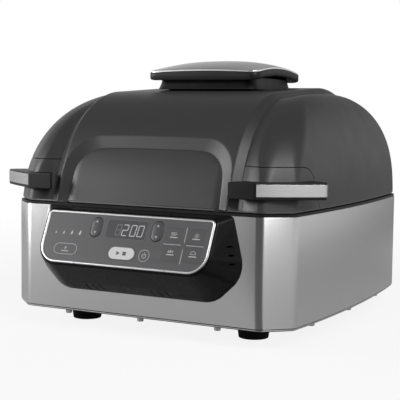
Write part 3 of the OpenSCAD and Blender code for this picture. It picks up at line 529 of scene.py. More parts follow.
metal("motor_steel", (0.48, 0.48, 0.49), 0.42, (40, 40, 900))


def material_of(node):
    return looks[slot_of[node]].mat


# ---- camera, floor and light
scene = bpy.context.scene
camera = bpy.data.objects.new("camera", bpy.data.cameras.new("camera"))
scene.collection.objects.link(camera)
CAMERA_AT = Vector((545.67, FRONT - 893.93, 225.87)) * MM
LOOKS_AT = Vector((-30.14, FRONT + 189.0, 122.88)) * MM
ROLL = Quaternion((0, 0, 1), math.radians(0.7))
camera.location = CAMERA_AT
camera.rotation_mode = "QUATERNION"
camera.rotation_quaternion = (LOOKS_AT - CAMERA_AT).to_track_quat("-Z", "Y") @ ROLL
camera.data.sensor_width = 36
camera.data.lens = 95.66
camera.data.clip_start = 0.02
scene.camera = camera
scene.view_settings.view_transform = "Standard"
GLOSS_WHITE = 0.12  # share of the white background that reflections show


def background_share(tree, plain):
    """Share of white at a point: plain for the camera and through glass, GLOSS_WHITE in reflections."""
    rays = tree.node("ShaderNodeLightPath").outputs
    seen = tree.maths("MAXIMUM", rays["Is Camera Ray"], rays["Is Transmission Ray"])
    shiny = tree.maths("MULTIPLY", rays["Is Glossy Ray"], GLOSS_WHITE)
    return tree.maths("MAXIMUM", tree.maths("MULTIPLY", seen, plain), shiny)


def build_floor():
    """Pale floor that keeps the object's shadow and turns white further out."""
    far = 6000.0
    corners = [(-far, -far, 0), (far, -far, 0), (far, far, 0), (-far, far, 0)]
    floor = add_object("floor", corners, [(0, 1, 2, 3)])
    mat = bpy.data.materials.new("studio_floor")
    mat.use_nodes = True
    paint = mat.node_tree.nodes["Principled BSDF"]
    paint.inputs["Roughness"].default_value = 0.9
    paint.inputs["Specular IOR Level"].default_value = 0.0
    tree = Nodes(mat.node_tree)
    place = tree.node("ShaderNodeTexCoord").outputs["Object"]
    away = tree.node("ShaderNodeVectorMath", {0: place}, operation="LENGTH").outputs["Value"]
    share = background_share(tree, tree.span(away, 0.88, 1.0, 0.35, 1.1))
    # Seen from the front right corner, a strip of the floor about this angle is dark in reflections
    x, y, _ = tree.node("ShaderNodeSeparateXYZ", {0: place}).outputs
    strip_x, strip_y, strip_turn = 0.14, -0.17, 0.05
    right, ahead = tree.maths("SUBTRACT", x, strip_x), tree.maths("MULTIPLY_ADD", y, -1.0, strip_y)
    turn = tree.maths("SUBTRACT", tree.maths("ARCTAN2", right, ahead), strip_turn)
    strip = tree.span(tree.maths("ABSOLUTE", turn), -0.25, 0.8, 0.43, 0.56)
    rays = tree.node("ShaderNodeLightPath").outputs
    pale = tree.maths("MULTIPLY_ADD", rays["Is Glossy Ray"], strip, rays["Is Camera Ray"])
    color = tree.mix(pale, (0.2, 0.2, 0.2, 1), (0.8, 0.8, 0.8, 1), clamp_factor=False)
    tree.link(color, paint.inputs["Base Color"])
    white = tree.node("ShaderNodeEmission", {"Strength": 1.0})
    mix = tree.node("ShaderNodeMixShader", {0: share, 1: paint.outputs[0], 2: white.outputs[0]})
    tree.link(mix.outputs[0], mat.node_tree.nodes["Material Output"].inputs["Surface"])
    floor.data.materials.append(mat)


# Brightness of the studio round the horizon, by the angle from the front towards the right in degrees
AROUND = (
    (-180, 0.2), (-165, 0.3), (-150, 0.75), (-115, 1.0), (-60, 0.9), (-36, 0.8), (-27, 0.85), (-23, 0.0),
    (26, 0.0), (38, 0.45), (49, 0.62), (60, 0.68), (80, 0.85), (120, 0.9), (140, 0.93), (152, 0.75),
    (166, 0.42), (180, 0.2),
)


def build_world():
    """White for the camera; for the object a soft studio that is dark in front, behind and above."""
    scene.world = bpy.data.worlds.new("studio")
    scene.world.use_nodes = True
    tree = Nodes(scene.world.node_tree)
    tree.tree.nodes.clear()
    way = tree.node("ShaderNodeTexCoord").outputs["Generated"]
    x, y, z = tree.node("ShaderNodeSeparateXYZ", {0: way}).outputs
    turn = tree.maths("ARCTAN2", x, tree.maths("MULTIPLY", y, -1.0))
    ramp = tree.node("ShaderNodeValToRGB", {0: tree.maths("ADD", tree.maths("DIVIDE", turn, math.tau), 0.5)})
    stops = ramp.color_ramp.elements
    while len(stops) < len(AROUND):
        stops.new(0.5)
    for stop, (degrees, value) in zip(stops, AROUND):
        stop.position = degrees / 360 + 0.5
        stop.color = (value, value, value, 1)
    rise = tree.span(z, 0, 1, 0.3, 0.65, interpolation_type="SMOOTHSTEP")
    sky = tree.mix(rise, ramp.outputs[0], (0.03, 0.03, 0.03, 1))
    studio = tree.node("ShaderNodeBackground", {"Color": sky}).outputs[0]
    white = tree.node("ShaderNodeBackground", {"Color": (1, 1, 1, 1)}).outputs[0]
    mix = tree.node("ShaderNodeMixShader", {0: background_share(tree, 1.0), 1: studio, 2: white})
    tree.node("ShaderNodeOutputWorld", {"Surface": mix.outputs[0]})


def area_light(name, at, size, watts):
    """A soft lamp at a point in metres, aimed at the middle of the object."""
    lamp = bpy.data.objects.new(name, bpy.data.lights.new(name, "AREA"))
    lamp.data.shape = "RECTANGLE"
    lamp.data.size, lamp.data.size_y = size
    lamp.data.energy = watts
    lamp.location = at
    lamp.rotation_mode = "QUATERNION"
    lamp.rotation_quaternion = (Vector((0, 0, 0.12)) - Vector(at)).to_track_quat("-Z", "Y")
    scene.collection.objects.link(lamp)


build_floor()
build_world()
area_light("key", (-1.65, -1.1, 0.8), (0.9, 0.7), 20)
area_light("fill", (1.3, -1.05, 1.45), (0.8, 0.8), 20)


# ---- steel wrap and base
def build_wrap():
    """Bowed steel wrap with folded edges, and cut-outs for the cord's gland and the vent."""
    hem, wall = 0.5, 1.2
    foot = BAND_Z0 - 0.8
    section = both_ends(foot, BAND_Z1, [(hem, 0), (hem * 0.3, hem * 0.3), (0, hem)])
    section += [(wall, BAND_Z1), (wall, foot)]
    ob = lofted("steel_wrap", flat_rings(body_outline(), section), closed=True)
    low, high = box_mm("cord_gland")
    flange = 2.9
    hole = circle((low[0] + high[0]) / 2, (low[2] + high[2]) / 2, (high[0] - low[0]) / 2 - flange, 48)
    low, high = box_mm("rear_vent")
    rim = 4.2
    x0, x1, z0, z1 = low[0] + rim, high[0] - rim, low[2] + rim, high[2] - rim
    square = [(x0, z0), (x1, z0), (x1, z1), (x0, z1)]
    cut(ob, *[
        lofted("rear_cut", [[(x, y, z) for x, z in shape] for y in (REAR + 10, REAR - 10)])
        for shape in (hole, square)
    ])
    stand_in(ob, "steel_band", angle=28)


def build_base():
    """Floor with a thin stepped lip, a bright hem strip and the studs of the lip."""
    outline = body_outline()
    plate_low = box_mm("feet")[1][2]
    lip = plate_low + 2.0
    top = BAND_Z0 - 1.5
    section = [(6.0, lip), (2.1, lip), (1.8, lip + 0.3), (1.8, top - 0.1), (2.6, top), (2.6, top + 3.5)]
    stand_in(lofted("base_lip", flat_rings(outline, section)), "base_plate")
    section = both_ends(top - 1.2, top, [(2.4, 0), (1.1, 0), (0.8, 0.3)])
    hem = lofted("base_hem", flat_rings(outline, section), closed=True)
    finish_piece(hem, material_of("steel_band"), "base", slot=slot_of["steel_band"])
    section = [(1.2, plate_low), (0.3, plate_low + 0.3), (0, plate_low + 1), (0, lip + 0.4)]
    floor = lofted("base_floor", flat_rings(moved(rounded_rect(274, 304, 34), 0, 5), section))
    slot = stadium(4, 46, 8)
    heights = (0, plate_low - 2), (0, plate_low + 1.8)
    cut(floor, *[
        lofted("slot_cut", flat_rings(moved(slot, i * 14, y), heights)) for i in range(-5, 6) for y in (-60, 40)
    ])
    finish_piece(floor, material_of("base_plate"), "base", slot=slot_of["base_plate"], angle=40, even=True)
    places = [(x * HALF_W, FRONT + 8) for x in (-0.52, 0, 0.52)]
    places += [(s * (side_x(y) - 9), y) for s in (-1, 1) for y in (-100, 0, 100)]
    low = box_mm("base_plate")[0][2]
    section = (1.2, low + 0.5), (1.2, low), (2.8, low), (3.2, low + 0.4), (3.2, lip + 0.3)
    rings = [[[(*p, z) for p in circle(x, y, r, 24)] for r, z in section] for x, y in places]
    studs = lofted("lip_studs", *rings)
    finish_piece(studs, looks["zinc_screw"].mat, "base", slot=slot_of["base_screws"], angle=40)


# ---- lid
class Profile:
    """Side view of the arch: front foot, over the top, rear foot, by length along it."""

    def __init__(self, steps=160, top=40):
        rises = [denser_up(i, steps) for i in range(steps + 1)]
        front = [
            Vector((FRONT + LID_IN + lean_in(u, *ARCH_FRONT), LID_Z + (ARCH_H - ROOF_RISE) * u))
            for u in [0.9985 * rise for rise in rises]
        ]
        rear = [Vector((REAR - LID_IN - lean_in(u, *ARCH_REAR), LID_Z + ARCH_H * u)) for u in rises]
        bridge = [front[-1].lerp(rear[-1], i / top) for i in range(1, top)]
        self.points = front + bridge + list(reversed(rear))
        self.table = [0.0]
        for a, b in zip(self.points, self.points[1:]):
            self.table.append(self.table[-1] + (b - a).length)
        self.length = self.table[-1]
        self.front_count = steps + 1

    def at(self, s):
        s = max(0.0, min(self.length, s))
        low = min(bisect_right(self.table, s), len(self.table) - 1) - 1
        span = self.table[low + 1] - self.table[low]
        return self.points[low].lerp(self.points[low + 1], (s - self.table[low]) / span if span else 0)

    def normal(self, s):
        ahead, behind = self.at(min(s + 1.5, self.length)), self.at(max(s - 1.5, 0))
        way = (ahead - behind).normalized()
        return Vector((-way.y, way.x))

    def s_at_height(self, h):
        """Length along the front at a height above the lid's foot."""
        z = LID_Z + max(0.0, h)
        for i in range(self.front_count - 1):
            a, b = self.points[i], self.points[i + 1]
            if a.y <= z <= b.y:
                return self.table[i] + (self.table[i + 1] - self.table[i]) * (z - a.y) / max(b.y - a.y, 1e-9)
        return self.table[self.front_count - 1]

    def place(self, x, s, deep):
        p, n = self.at(s), self.normal(s)
        return (x, p.x - n.x * deep, p.y - n.y * deep)


profile = Profile()
BEVEL_W, BEVEL_D = 8.0, 6.0  # bevel along the arch's edges
FLANGE = 10.0  # the arch's edge goes down this far behind the bevel
INSET_HALF, INSET_TOP = ARCH_HALF - 10.0, 68.0  # recess in the arch's front
INSET_BEVEL, INSET_DEPTH = 10.0, 4.5
COVER_T = 2.4  # wall of the arch and of its front panel
EDGE = 0.09  # share of the recess's bevel over which its edges are rounded


def inset_outline(share, steps=26):
    """The recess, moved in by a share of its bevel, from right foot to left: x and length up the front."""
    half = (
        [Vector((INSET_HALF + 2, 0))]
        + fillet((INSET_HALF + 2, -2), (INSET_HALF - 1, INSET_TOP - 2), (0, INSET_TOP), 34, steps)
        + [Vector((40, INSET_TOP - 0.6))]
    )
    x_share, z_share = 1 - share * INSET_BEVEL / INSET_HALF, 1 - share * INSET_BEVEL / INSET_TOP
    return [Vector((p.x * x_share, profile.s_at_height(p.y * z_share))) for p in half + flip(half)]


def key_of(point):
    return round(point[0], 3), round(point[1], 3)


def soft_step(f, corner):
    """0 before 0, then a straight slope to 1, with rounded ends of size corner."""
    if f <= -corner:
        return 0.0
    if f < corner:
        return (f + corner) ** 2 / (4 * corner)
    if f <= 1 - corner:
        return f
    return 1 - (1 + corner - f) ** 2 / (4 * corner) if f < 1 + corner else 1.0


def cover(name, node, points, faces, **keys):
    """Finishes a sheet of the arch or of its front panel from its outer surface."""
    ob = add_object(name, points, faces)
    edit(ob, fix_normals)
    solidify(ob, COVER_T)
    stand_in(ob, node, **keys)


def build_arch():
    """Centre band of the lid with bevelled edges and a recess in its front, over a flat pattern of x and s."""
    shares = [-EDGE, -EDGE / 3, EDGE / 3, EDGE, 1 - EDGE, 1 - EDGE / 3, 1 + EDGE / 3]
    recess = [inset_outline(share) for share in shares]
    half_flat = ARCH_HALF - BEVEL_W
    columns = [half_flat + k for k in (-1.4, -0.5, 0.5, 1.4)] + [ARCH_HALF + k for k in (-0.7, 0, FLANGE)]
    rows = [profile.length * i / 120 for i in range(121)]
    lines = [[(side * t, s) for s in rows] for t in columns for side in (-1, 1)]
    loose = [Vector((k * (half_flat - 3) / 9, s)) for s in rows for k in range(-9, 10)]
    loose = [p for p in loose if not inside(p, recess[0])]
    verts, faces = triangulate(loose, recess + lines)
    faces = [f for f in faces if not inside(middle(verts, f), recess[-1])]
    share_of = {key_of(p): share for share, chain in zip(shares, recess) for p in chain}
    placed = []
    for v in verts:
        t = abs(v.x)
        if t > ARCH_HALF:
            deep = BEVEL_D + t - ARCH_HALF
        elif t > ARCH_HALF - 0.8:
            deep = BEVEL_D * (1 - (ARCH_HALF - t) / BEVEL_W)
        elif t > half_flat - 1.4:
            deep = BEVEL_D * soft_step((t - half_flat) / BEVEL_W, 0.17)
        else:
            deep = 0.0
        if key_of(v) in share_of:
            deep += INSET_DEPTH * soft_step(share_of[key_of(v)], EDGE)
        placed.append(profile.place(math.copysign(min(t, ARCH_HALF), v.x), v.y, deep))
    cover("arch_cover", "lid_arch", placed, faces, angle=36)


def build_front_panel():
    """The panel in the recess, whose rim lies a little deeper."""
    edge, near = inset_outline(1.015), inset_outline(1.06)
    rows = [profile.s_at_height(INSET_TOP) * i / 40 for i in range(41)]
    loose = [Vector((k * INSET_HALF / 11, s)) for s in rows for k in range(-10, 11)]
    verts, faces = triangulate([p for p in loose if inside(p, near)], [edge, near])
    faces = [f for f in faces if inside(middle(verts, f), edge)]
    rim = {key_of(p) for p in edge}
    placed = [profile.place(v.x, v.y, INSET_DEPTH + (0.25 if key_of(v) in rim else 0.0)) for v in verts]
    cover("front_inset_panel", "lid_front_panel", placed, faces)


def shell_point(p, u):
    """The point of a side shell over the foot's point p, at u from 0 at the foot to 1 at the top."""
    x = p.x * (1 - lean_in(u, *SHELL_SIDE) / HALF_W)
    if p.y < LID_MID:
        share = 1 - lean_in(u, *SHELL_FRONT) / (LID_MID - FRONT)
    else:
        share = 1 - lean_in(u, *SHELL_REAR) / (REAR - LID_MID)
    return Vector((x, LID_MID + (p.y - LID_MID) * share, LID_Z + SHELL_H * u))


def lid_outline(share):
    """Foot outline of the lid, with corners that grow rounder with share, always in as many points."""
    half = []
    for piece in half_plan(FACET_R + 26 * share, SIDE_R + 30 * share, 16, 44):
        if half:
            half += [half[-1].lerp(piece[0], k / 8) for k in range(1, 8)]
        half += piece
    outline = inset(half + flip(half), LID_IN)
    columns = [ARCH_HALF - 1 + 2.2 * k for k in range(5)]  # more points where the arch covers the shells
    out = []
    for a, b in zip(outline, outline[1:] + outline[:1]):
        out.append(a)
        if abs(b.x - a.x) > 60:
            inner = sorted([side * x for side in (-1, 1) for x in columns], reverse=b.x < a.x)
            out += [Vector((x, a.y)) for x in inner]
    return out


def tucked(p, reach=16.0):
    """Moves a point of the shell back behind the arch's bevel where it stands proud beside it."""
    side = (abs(p.x) - ARCH_HALF) / reach
    if side >= 1:
        return p
    at = Vector((p.y, p.z))
    best = min(range(1, len(profile.points) - 1), key=lambda i: (profile.points[i] - at).length_squared)
    span = profile.points[best + 1] - profile.points[best - 1]
    along = (at - profile.points[best - 1]).dot(span) / span.length
    s = profile.table[best - 1] + max(0.0, along)
    out = profile.normal(s)
    deep = (profile.at(s) - at).dot(out)
    move = max(0.0, BEVEL_D + 0.3 - deep) * smooth_step(1 - max(0.0, side))
    return Vector((p.x, p.y - out.x * move, p.z - out.y * move))


def seam_cutter(side):
    """The thin parting line of the corner insert, as a band in side view run out along X."""
    seam_z, turn_y, turn_w, turn_h, half = LID_Z + 41.3, FRONT + 42.0, 22, 14, 0.38
    path = [Vector((FRONT - 30, seam_z)), Vector((turn_y, seam_z))]
    for i in range(1, 11):
        a = math.radians(90 * i / 10)
        path.append(Vector((turn_y + turn_w * math.sin(a), seam_z - turn_h + turn_h * math.cos(a))))
    path.append(Vector((turn_y + 35, LID_Z - 3)))
    loop = beside(path, -half) + list(reversed(beside(path, half)))
    return lofted("seam_cut", [[(side * x, q.x, q.y) for q in loop] for x in (ARCH_HALF - 2, HALF_W + 10)])


def build_shells():
    """Side shells, from one dome that is halved, walled and scored with the inserts' parting lines."""
    steps = 56
    rings = []
    for i in range(steps + 1):
        u = denser_up(i, steps)
        share = smooth_step(min(1.0, max(0.0, (u - 0.12) / 0.6)))
        rings.append([tucked(shell_point(p, u)) for p in lid_outline(share)])
    for side, name in ((-1, "left"), (1, "right")):
        ob = add_object("side_shell_" + name, *loft(rings, caps=False))

        def change(bm, side=side):
            bmesh.ops.bisect_plane(
                bm, geom=bm.verts[:] + bm.edges[:] + bm.faces[:], plane_co=(side * ARCH_HALF * MM, 0, 0),
                plane_no=(side, 0, 0), clear_inner=True,
            )
            bmesh.ops.remove_doubles(bm, verts=bm.verts, dist=0.00001)
            fix_normals(bm)

        edit(ob, change)
        solidify(ob, 2.6)
        smooth(ob, 40)
        cut(ob, seam_cutter(side))
        stand_in(ob, "lid_side_" + name, angle=40)


def build_wings():
    """Handle wings with a crowned metal facing on the outside, from the arch round the corner."""
    box_low, box_high = box_mm("handle_right")
    low, high, tip = box_low[2], box_high[2], box_high[0]
    corner, front_y = side_x(FRONT + CORNER_Y), FRONT - 4.8
    root = [Vector((117, FRONT + 24)), Vector((101.5, front_y))]
    bend, end = Vector((corner - CORNER_X - 7.4, front_y)), Vector((tip, FRONT + 35.2))
    rear = [Vector((tip - 3, FRONT + 45)), Vector((HALF_W - 8, FRONT + 60)), Vector((corner - 24, FRONT + 54))]
    way = (end - bend).normalized()
    out = Vector((way.y, -way.x))
    crown, facing_t = 1.5, 1.5
    front = [bend.lerp(end, i / 20) + out * crown * 4 * (i / 20) * (1 - i / 20) for i in range(21)]
    front = front[:-2] + fillet(front[-2], end, rear[0], 3.0, 6)
    plan = root + front + rear
    under = [*root, bend, end, *rear]
    facing = front[1:] + rear[:1]
    strip = facing + list(reversed(beside(facing, -facing_t)))
    wing_levels = both_ends(low, high, [(1.7, 0), (0.9, 0.2), (0.45, 0.7), (0.3, 1.3)])
    facing_levels = both_ends(low + 3.0, low + 14.5, [(0.35, 0), (0.08, 0.08), (0.0, 0.3)])
    hollow_levels = (5, low - 1), (5, low + 5)
    for name, turned in (("left", flip), ("right", list)):
        wing = lofted("wing_" + name, flat_rings(turned(plan), wing_levels))
        cut(wing, lofted("hollow_cut", flat_rings(turned(under), hollow_levels)))
        stand_in(wing, "handle_" + name, angle=40, even=True)
        trim = lofted("wing_facing_" + name, flat_rings(turned(strip), facing_levels))
        stand_in(trim, "handle_trim_" + name, angle=35, even=True)


# ---- top cap
def build_cap():
    """Crowned metal cover over a black underside with arched side edges."""
    low, high = box_mm("cap_rim")
    top = box_mm("cap_plate")[1][2]
    w, d = high[0] - low[0] + 3, high[1] - low[1] + 2
    y0 = (low[1] + high[1]) / 2
    rise, drop, plate_t, side_share = 11.5, 2.0, 1.6, 0.5
    plan = []
    corners = rounded_rect(w, d, 10, 10)
    for a, b in zip(corners, corners[1:] + corners[:1]):
        n = max(1, round((b - a).length / 6))
        plan += [a.lerp(b, i / n) for i in range(n)]

    def crown(share, t):
        """A ring arched from front to rear, with the arch fading towards the straight side edges."""
        out = []
        for p in plan:
            x, y = p.x * share, p.y * share
            arch = (1 - (2 * y / d) ** 2) * (1 - (1 - side_share) * abs(2 * x / w) ** 3)
            out.append((x, y0 + y, top - t - rise * (1 - arch) - drop * (2 * x / w) ** 2))
        return out

    shares = [0.02, 0.12, 0.25, 0.4, 0.55, 0.7, 0.82, 0.9, 0.95, 0.975]
    edge = [crown(0.985, plate_t), crown(0.985, 0.5), crown(0.983, 0.15)]
    rings = [crown(s, plate_t) for s in shares] + edge + [crown(s, 0) for s in reversed(shares)]
    stand_in(lofted("cap_cover", rings), "cap_plate")
    steps = (0.80, low[2] + 2.0), (0.975, low[2]), (0.992, low[2] + 0.5), (1.0, low[2] + 1.8)
    lift = rise * side_share
    rings = [[(p.x * s, y0 + p.y * s, z + lift * (1 - (2 * p.y / d) ** 2)) for p in plan] for s, z in steps]
    rings.append(crown(1, plate_t + 0.6))
    rings += [crown(s, plate_t + 0.15) for s in (0.995, 0.9, 0.3)]
    stand_in(lofted("cap_underside", rings), "cap_rim", angle=40)


def build_pedestal():
    """Neck of the cap, flared at its foot, with a row of slots at the rear."""
    low, high = box_mm("cap_pedestal")
    w, d = high[0] - low[0], high[1] - low[1]
    y0 = (low[1] + high[1]) / 2
    steps = 10
    rings = []
    for i in range(steps + 1):
        flare = 8.0 * (1 - i / steps) ** 2
        z = low[2] + 2 + (high[2] - low[2] - 4) * i / steps
        rings.append([(p.x, p.y + y0, z) for p in rounded_rect(w + flare, d + flare, 10 + flare / 2, 10)])
    ob = lofted("cap_neck", rings)
    cut(ob, *[box_cutter("slot_cut", (i * 11, high[1], ARCH_Z + 3), (6, 20, 3)) for i in range(-4, 5)])
    stand_in(ob, "cap_pedestal", angle=40)


# ---- control panel
PANEL_W, PANEL_H, PANEL_TILT = 190.5, 54.5, math.radians(25)
PANEL_S, PANEL_C = math.sin(PANEL_TILT), math.cos(PANEL_TILT)
PANEL_Y, PANEL_Z = FRONT - 24.3, BAND_Z1 - 28.4
RING = 2.4
FASCIA_T = 2.5
CHIN_Z = BAND_Z0 + 20
CREASE_OUT, CREASE_UP, CREASE_HALF, CREASE_R = 16.2, 11.5, 74.0, 1.6  # bar across the chin
KEYS = {
    "temp_rocker": (-34.8, 12, 12.2, 20.5), "time_rocker": (34.8, 12, 12.2, 20.5),
    "grill_button": (-64.9, -12.7, 27.6, 11.6), "start_stop_button": (1.1, -13, 28.8, 12.5),
    "power_button": (26.3, -13.1, 12.4, 12.4),
    "function_key_1": (53.9, 9.0, 18.4, 16), "function_key_2": (78.1, 9.0, 18.4, 16),
    "function_key_3": (53.9, -8.4, 18.4, 16), "function_key_4": (78.1, -8.4, 18.4, 16),
}
WINDOW = (0.1, 11.6, 46.0, 20.0)


def panel(u, v, w=0.0):
    """A point of the sloped panel: u to the right, v up the slope, w out of it."""
    return (u, PANEL_Y + PANEL_S * v - PANEL_C * w, PANEL_Z + PANEL_C * v + PANEL_S * w)


def panel_rings(points, steps):
    """Rings of one outline on the panel, from pairs of inset and height."""
    return [[panel(p.x, p.y, w) for p in inset(points, d)] for d, w in steps]


def panel_outline(steps=20):
    low, high = (PANEL_W / 2 - 0.5, -PANEL_H / 2), (PANEL_W / 2, PANEL_H / 2)
    half = fillet((0, -PANEL_H / 2), low, high, 20, steps) + fillet(low, high, (0, PANEL_H / 2), 5, steps // 2)
    return half + flip(half)


def plate(name, outer, holes, top, thick, edge=0.0):
    """A flat piece of the panel with holes, its outer face at height top."""
    verts, faces = triangulate([], [loop + loop[:1] for loop in [outer] + holes])
    faces = [f for f in faces if inside(middle(verts, f), outer)]
    faces = [f for f in faces if not any(inside(middle(verts, f), hole) for hole in holes)]
    ob = add_object(name, [panel(v.x, v.y, top) for v in verts], faces)
    edit(ob, lambda bm: bmesh.ops.dissolve_limit(bm, angle_limit=0.01, verts=bm.verts, edges=bm.edges))
    solidify(ob, thick)
    if edge:
        bevel(ob, edge, 50)
    return ob


def housing_points(shrink, back, steps):
    """Outline on the steel, bar across the chin, and rounded outline on the panel's plane."""
    low, wide, high = (88, CHIN_Z), ((PANEL_W + 48.5) / 2, BAND_Z1 - 55.5), ((PANEL_W + 22.5) / 2, BAND_Z1)
    half = fillet((0, CHIN_Z), low, wide, 30, 14) + fillet(low, wide, high, 30, 14)
    half += fillet(wide, high, (0, BAND_Z1), 5, 8)
    points = [(p.x, FRONT - back, p.y) for p in inset(half + flip(half), shrink)]
    y, z = FRONT - CREASE_OUT + shrink + CREASE_R, CHIN_Z + CREASE_UP + shrink / 2
    for x in (-CREASE_HALF + shrink, CREASE_HALF - shrink):
        points += [(x, *p) for p in circle(y, z, CREASE_R, 12)]
    return points + [p for ring in panel_rings(panel_outline(), steps) for p in ring]


def build_housing():
    """Gloss wedge behind the panel, hollow, with slots in the chin and in the sides."""
    border = 3.0
    rounding = [
        (-border, -3.2), (-border + 0.3, -1.9), (-border + 0.9, -0.85), (-border + 1.7, -0.22),
        (-border + 2.6, 0.0),
    ]
    wall = 2.5
    ob = hull("panel_housing", housing_points(0, 0, rounding))
    cavity = hull("cavity_cut", housing_points(wall, -3, [(wall - border, -6)]))
    outline = panel_outline()
    pocket = plate("pocket_cut", outline, [], 10, 10 + FASCIA_T + 0.1)
    opening = plate("opening_cut", inset(outline, 4), [], 5, 20)
    chin_y, chin_z = FRONT - CREASE_OUT / 2, CHIN_Z + CREASE_UP / 2
    chin_lean = math.radians(90) + math.atan(CREASE_OUT / CREASE_UP)
    slots = [
        box_cutter("slot_cut", (x + k * 8.5, chin_y, chin_z), (1.5, 14.5, 5), chin_lean)
        for x in (-43.5, 32) for k in (-1, 0, 1)
    ]
    slots += [
        box_cutter("slot_cut", (side * (PANEL_W / 2 + 12), FRONT - 9, PANEL_Z - 8 + k * 8.2), (30, 5, 1.8))
        for side in (-1, 1) for k in (-1, 0, 1)
    ]
    cut(ob, cavity, pocket, opening, *slots)
    stand_in(ob, "control_housing", angle=40, even=True)


def key_outline(name, grow=0.0):
    x, v, w, h = KEYS[name]
    w, h = w + 2 * grow, h + 2 * grow
    shape = rounded_rect(w, h, 1.4 + grow, 8) if name.startswith("function") else stadium(w, h)
    return moved(shape, x, v)


def build_panel_face():
    """Bright ring with two notches, fascia, display window and keys."""
    outline = panel_outline()
    section = (
        (0, -FASCIA_T), (0, 0.3), (0.25, 0.62), (0.7, 0.8), (1.7, 0.8), (2.15, 0.62), (RING, 0.3),
        (RING, -FASCIA_T),
    )
    trim = lofted("panel_ring", panel_rings(outline, section), closed=True)
    notch_v = -PANEL_H / 2 + 0.1
    cut(trim, *[
        box_cutter("notch_cut", panel(u, notch_v, 0.6), (1.3, 3, 2.4), -PANEL_TILT) for u in (-50.5, 52.4)
    ])
    stand_in(trim, "fascia_trim", angle=40)

    # Round each key: the gap, its height over the fascia, and its top as pairs of inset and depth
    rocker = [(0, 0.75), (0.12, 0.4), (0.5, 0.12), (1.2, -0.12), (2.4, -0.3), (4.2, -0.4), (5.6, -0.42)]
    raised = [(0, 0.5), (0.12, 0.22), (0.4, 0.06), (0.9, 0.0)]
    flush = [(0, 0.12), (0.05, 0.03), (0.15, 0.0)]
    forms = dict.fromkeys(KEYS, (0.06, 0.02, flush))
    forms.update(dict.fromkeys(("temp_rocker", "time_rocker"), (0.45, 0.6, rocker)))
    forms.update(dict.fromkeys(("power_button", "grill_button"), (0.12, 0.12, flush)))
    forms["start_stop_button"] = 0.3, 1.1, raised
    holes = [key_outline(name, gap) for name, (gap, _, _) in forms.items()]
    x, v, w, h = WINDOW
    holes.append(moved(rounded_rect(w + 0.2, h + 0.2, 2.5, 8), x, v))
    face = plate("panel_face", inset(outline, RING), holes, 0, FASCIA_T)
    stand_in(face, "fascia", angle=50, even=True)
    window = plate("display_glass", moved(rounded_rect(w, h, 2.4, 8), x, v), [], 0.05, 1.2, 0.15)
    stand_in(window, "display_window", angle=50, even=True)

    key_foot = -3.4
    for name, (_, top, steps) in forms.items():
        section = [(0.0, key_foot)] + [(d, top - h) for d, h in steps]
        key = lofted(name + "_cap", panel_rings(key_outline(name), section))
        stand_in(key, name, angle=50, even=True)


# ---- marks on the panel
def marks(name, shapes, node, top, look="print_white"):
    """Printed marks: flat shapes a hair thick on the face of a key or of the fascia."""
    ob = lofted(name, *[
        [[panel(p[0], p[1], w) for p in shape] for w in (top - 0.05, top + 0.1)] for shape in shapes
    ])
    finish_piece(ob, looks[look].mat, body_of[node], slot="key_white", angle=20)


def bar(x0, y0, x1, y1, t):
    """A line of thickness t with pointed ends."""
    a, b = Vector((x0, y0)), Vector((x1, y1))
    way = (b - a).normalized() * t / 2
    side = Vector((-way.y, way.x))
    return [a - side, b - side, b + way * 0.8, b + side, a + side, a - way * 0.8]


def border(points, t):
    """A line of thickness t inside a closed outline, as quads."""
    inner = inset(points, t)
    n = len(points)
    return [[points[i], points[(i + 1) % n], inner[(i + 1) % n], inner[i]] for i in range(n)]


def arc(x, y, r, t, start=0, end=360, steps=16):
    """Part of a ring round x, y, from angle start to end in degrees, as quads."""
    out = []
    for i in range(steps):
        turns = [math.radians(start + (end - start) * k / steps) for k in (i, i + 1)]
        corners = (r, turns[0]), (r, turns[1]), (r - t, turns[1]), (r - t, turns[0])
        out.append([(x + q * math.cos(a), y + q * math.sin(a)) for q, a in corners])
    return out


def triangle(x, y, w, h):
    """Points up, or down where h is negative."""
    half = math.copysign(w / 2, h)
    return [(x - half, y - h / 2), (x + half, y - h / 2), (x, y + h / 2)]


def flame(x, y, w, h, steps=20):
    out = []
    for a in [math.tau * i / steps for i in range(steps)]:
        lean = 0.12 * w * math.cos(a)
        out.append((x - w / 2 * math.sin(a) * math.sin(a / 2) ** 1.3 + lean, y + h / 2 * math.cos(a)))
    return out


def digit(x, w, h, lit, t=1.0):
    """Slanted seven-bar digit of the display at x, with the lit bars named a to g."""
    y, slant, gap = 10.9, 0.1, 0.35
    a, b, c, d = x - w / 2, x + w / 2, y - h / 2, y + h / 2
    ends = {
        "a": (a + gap, d, b - gap, d), "b": (b, d - gap, b, y + gap), "c": (b, y - gap, b, c + gap),
        "d": (a + gap, c, b - gap, c), "e": (a, y - gap, a, c + gap), "f": (a, d - gap, a, y + gap),
        "g": (a + gap, y, b - gap, y),
    }
    return [[Vector((p.x + slant * (p.y - y), p.y)) for p in bar(*ends[k], t)] for k in lit]


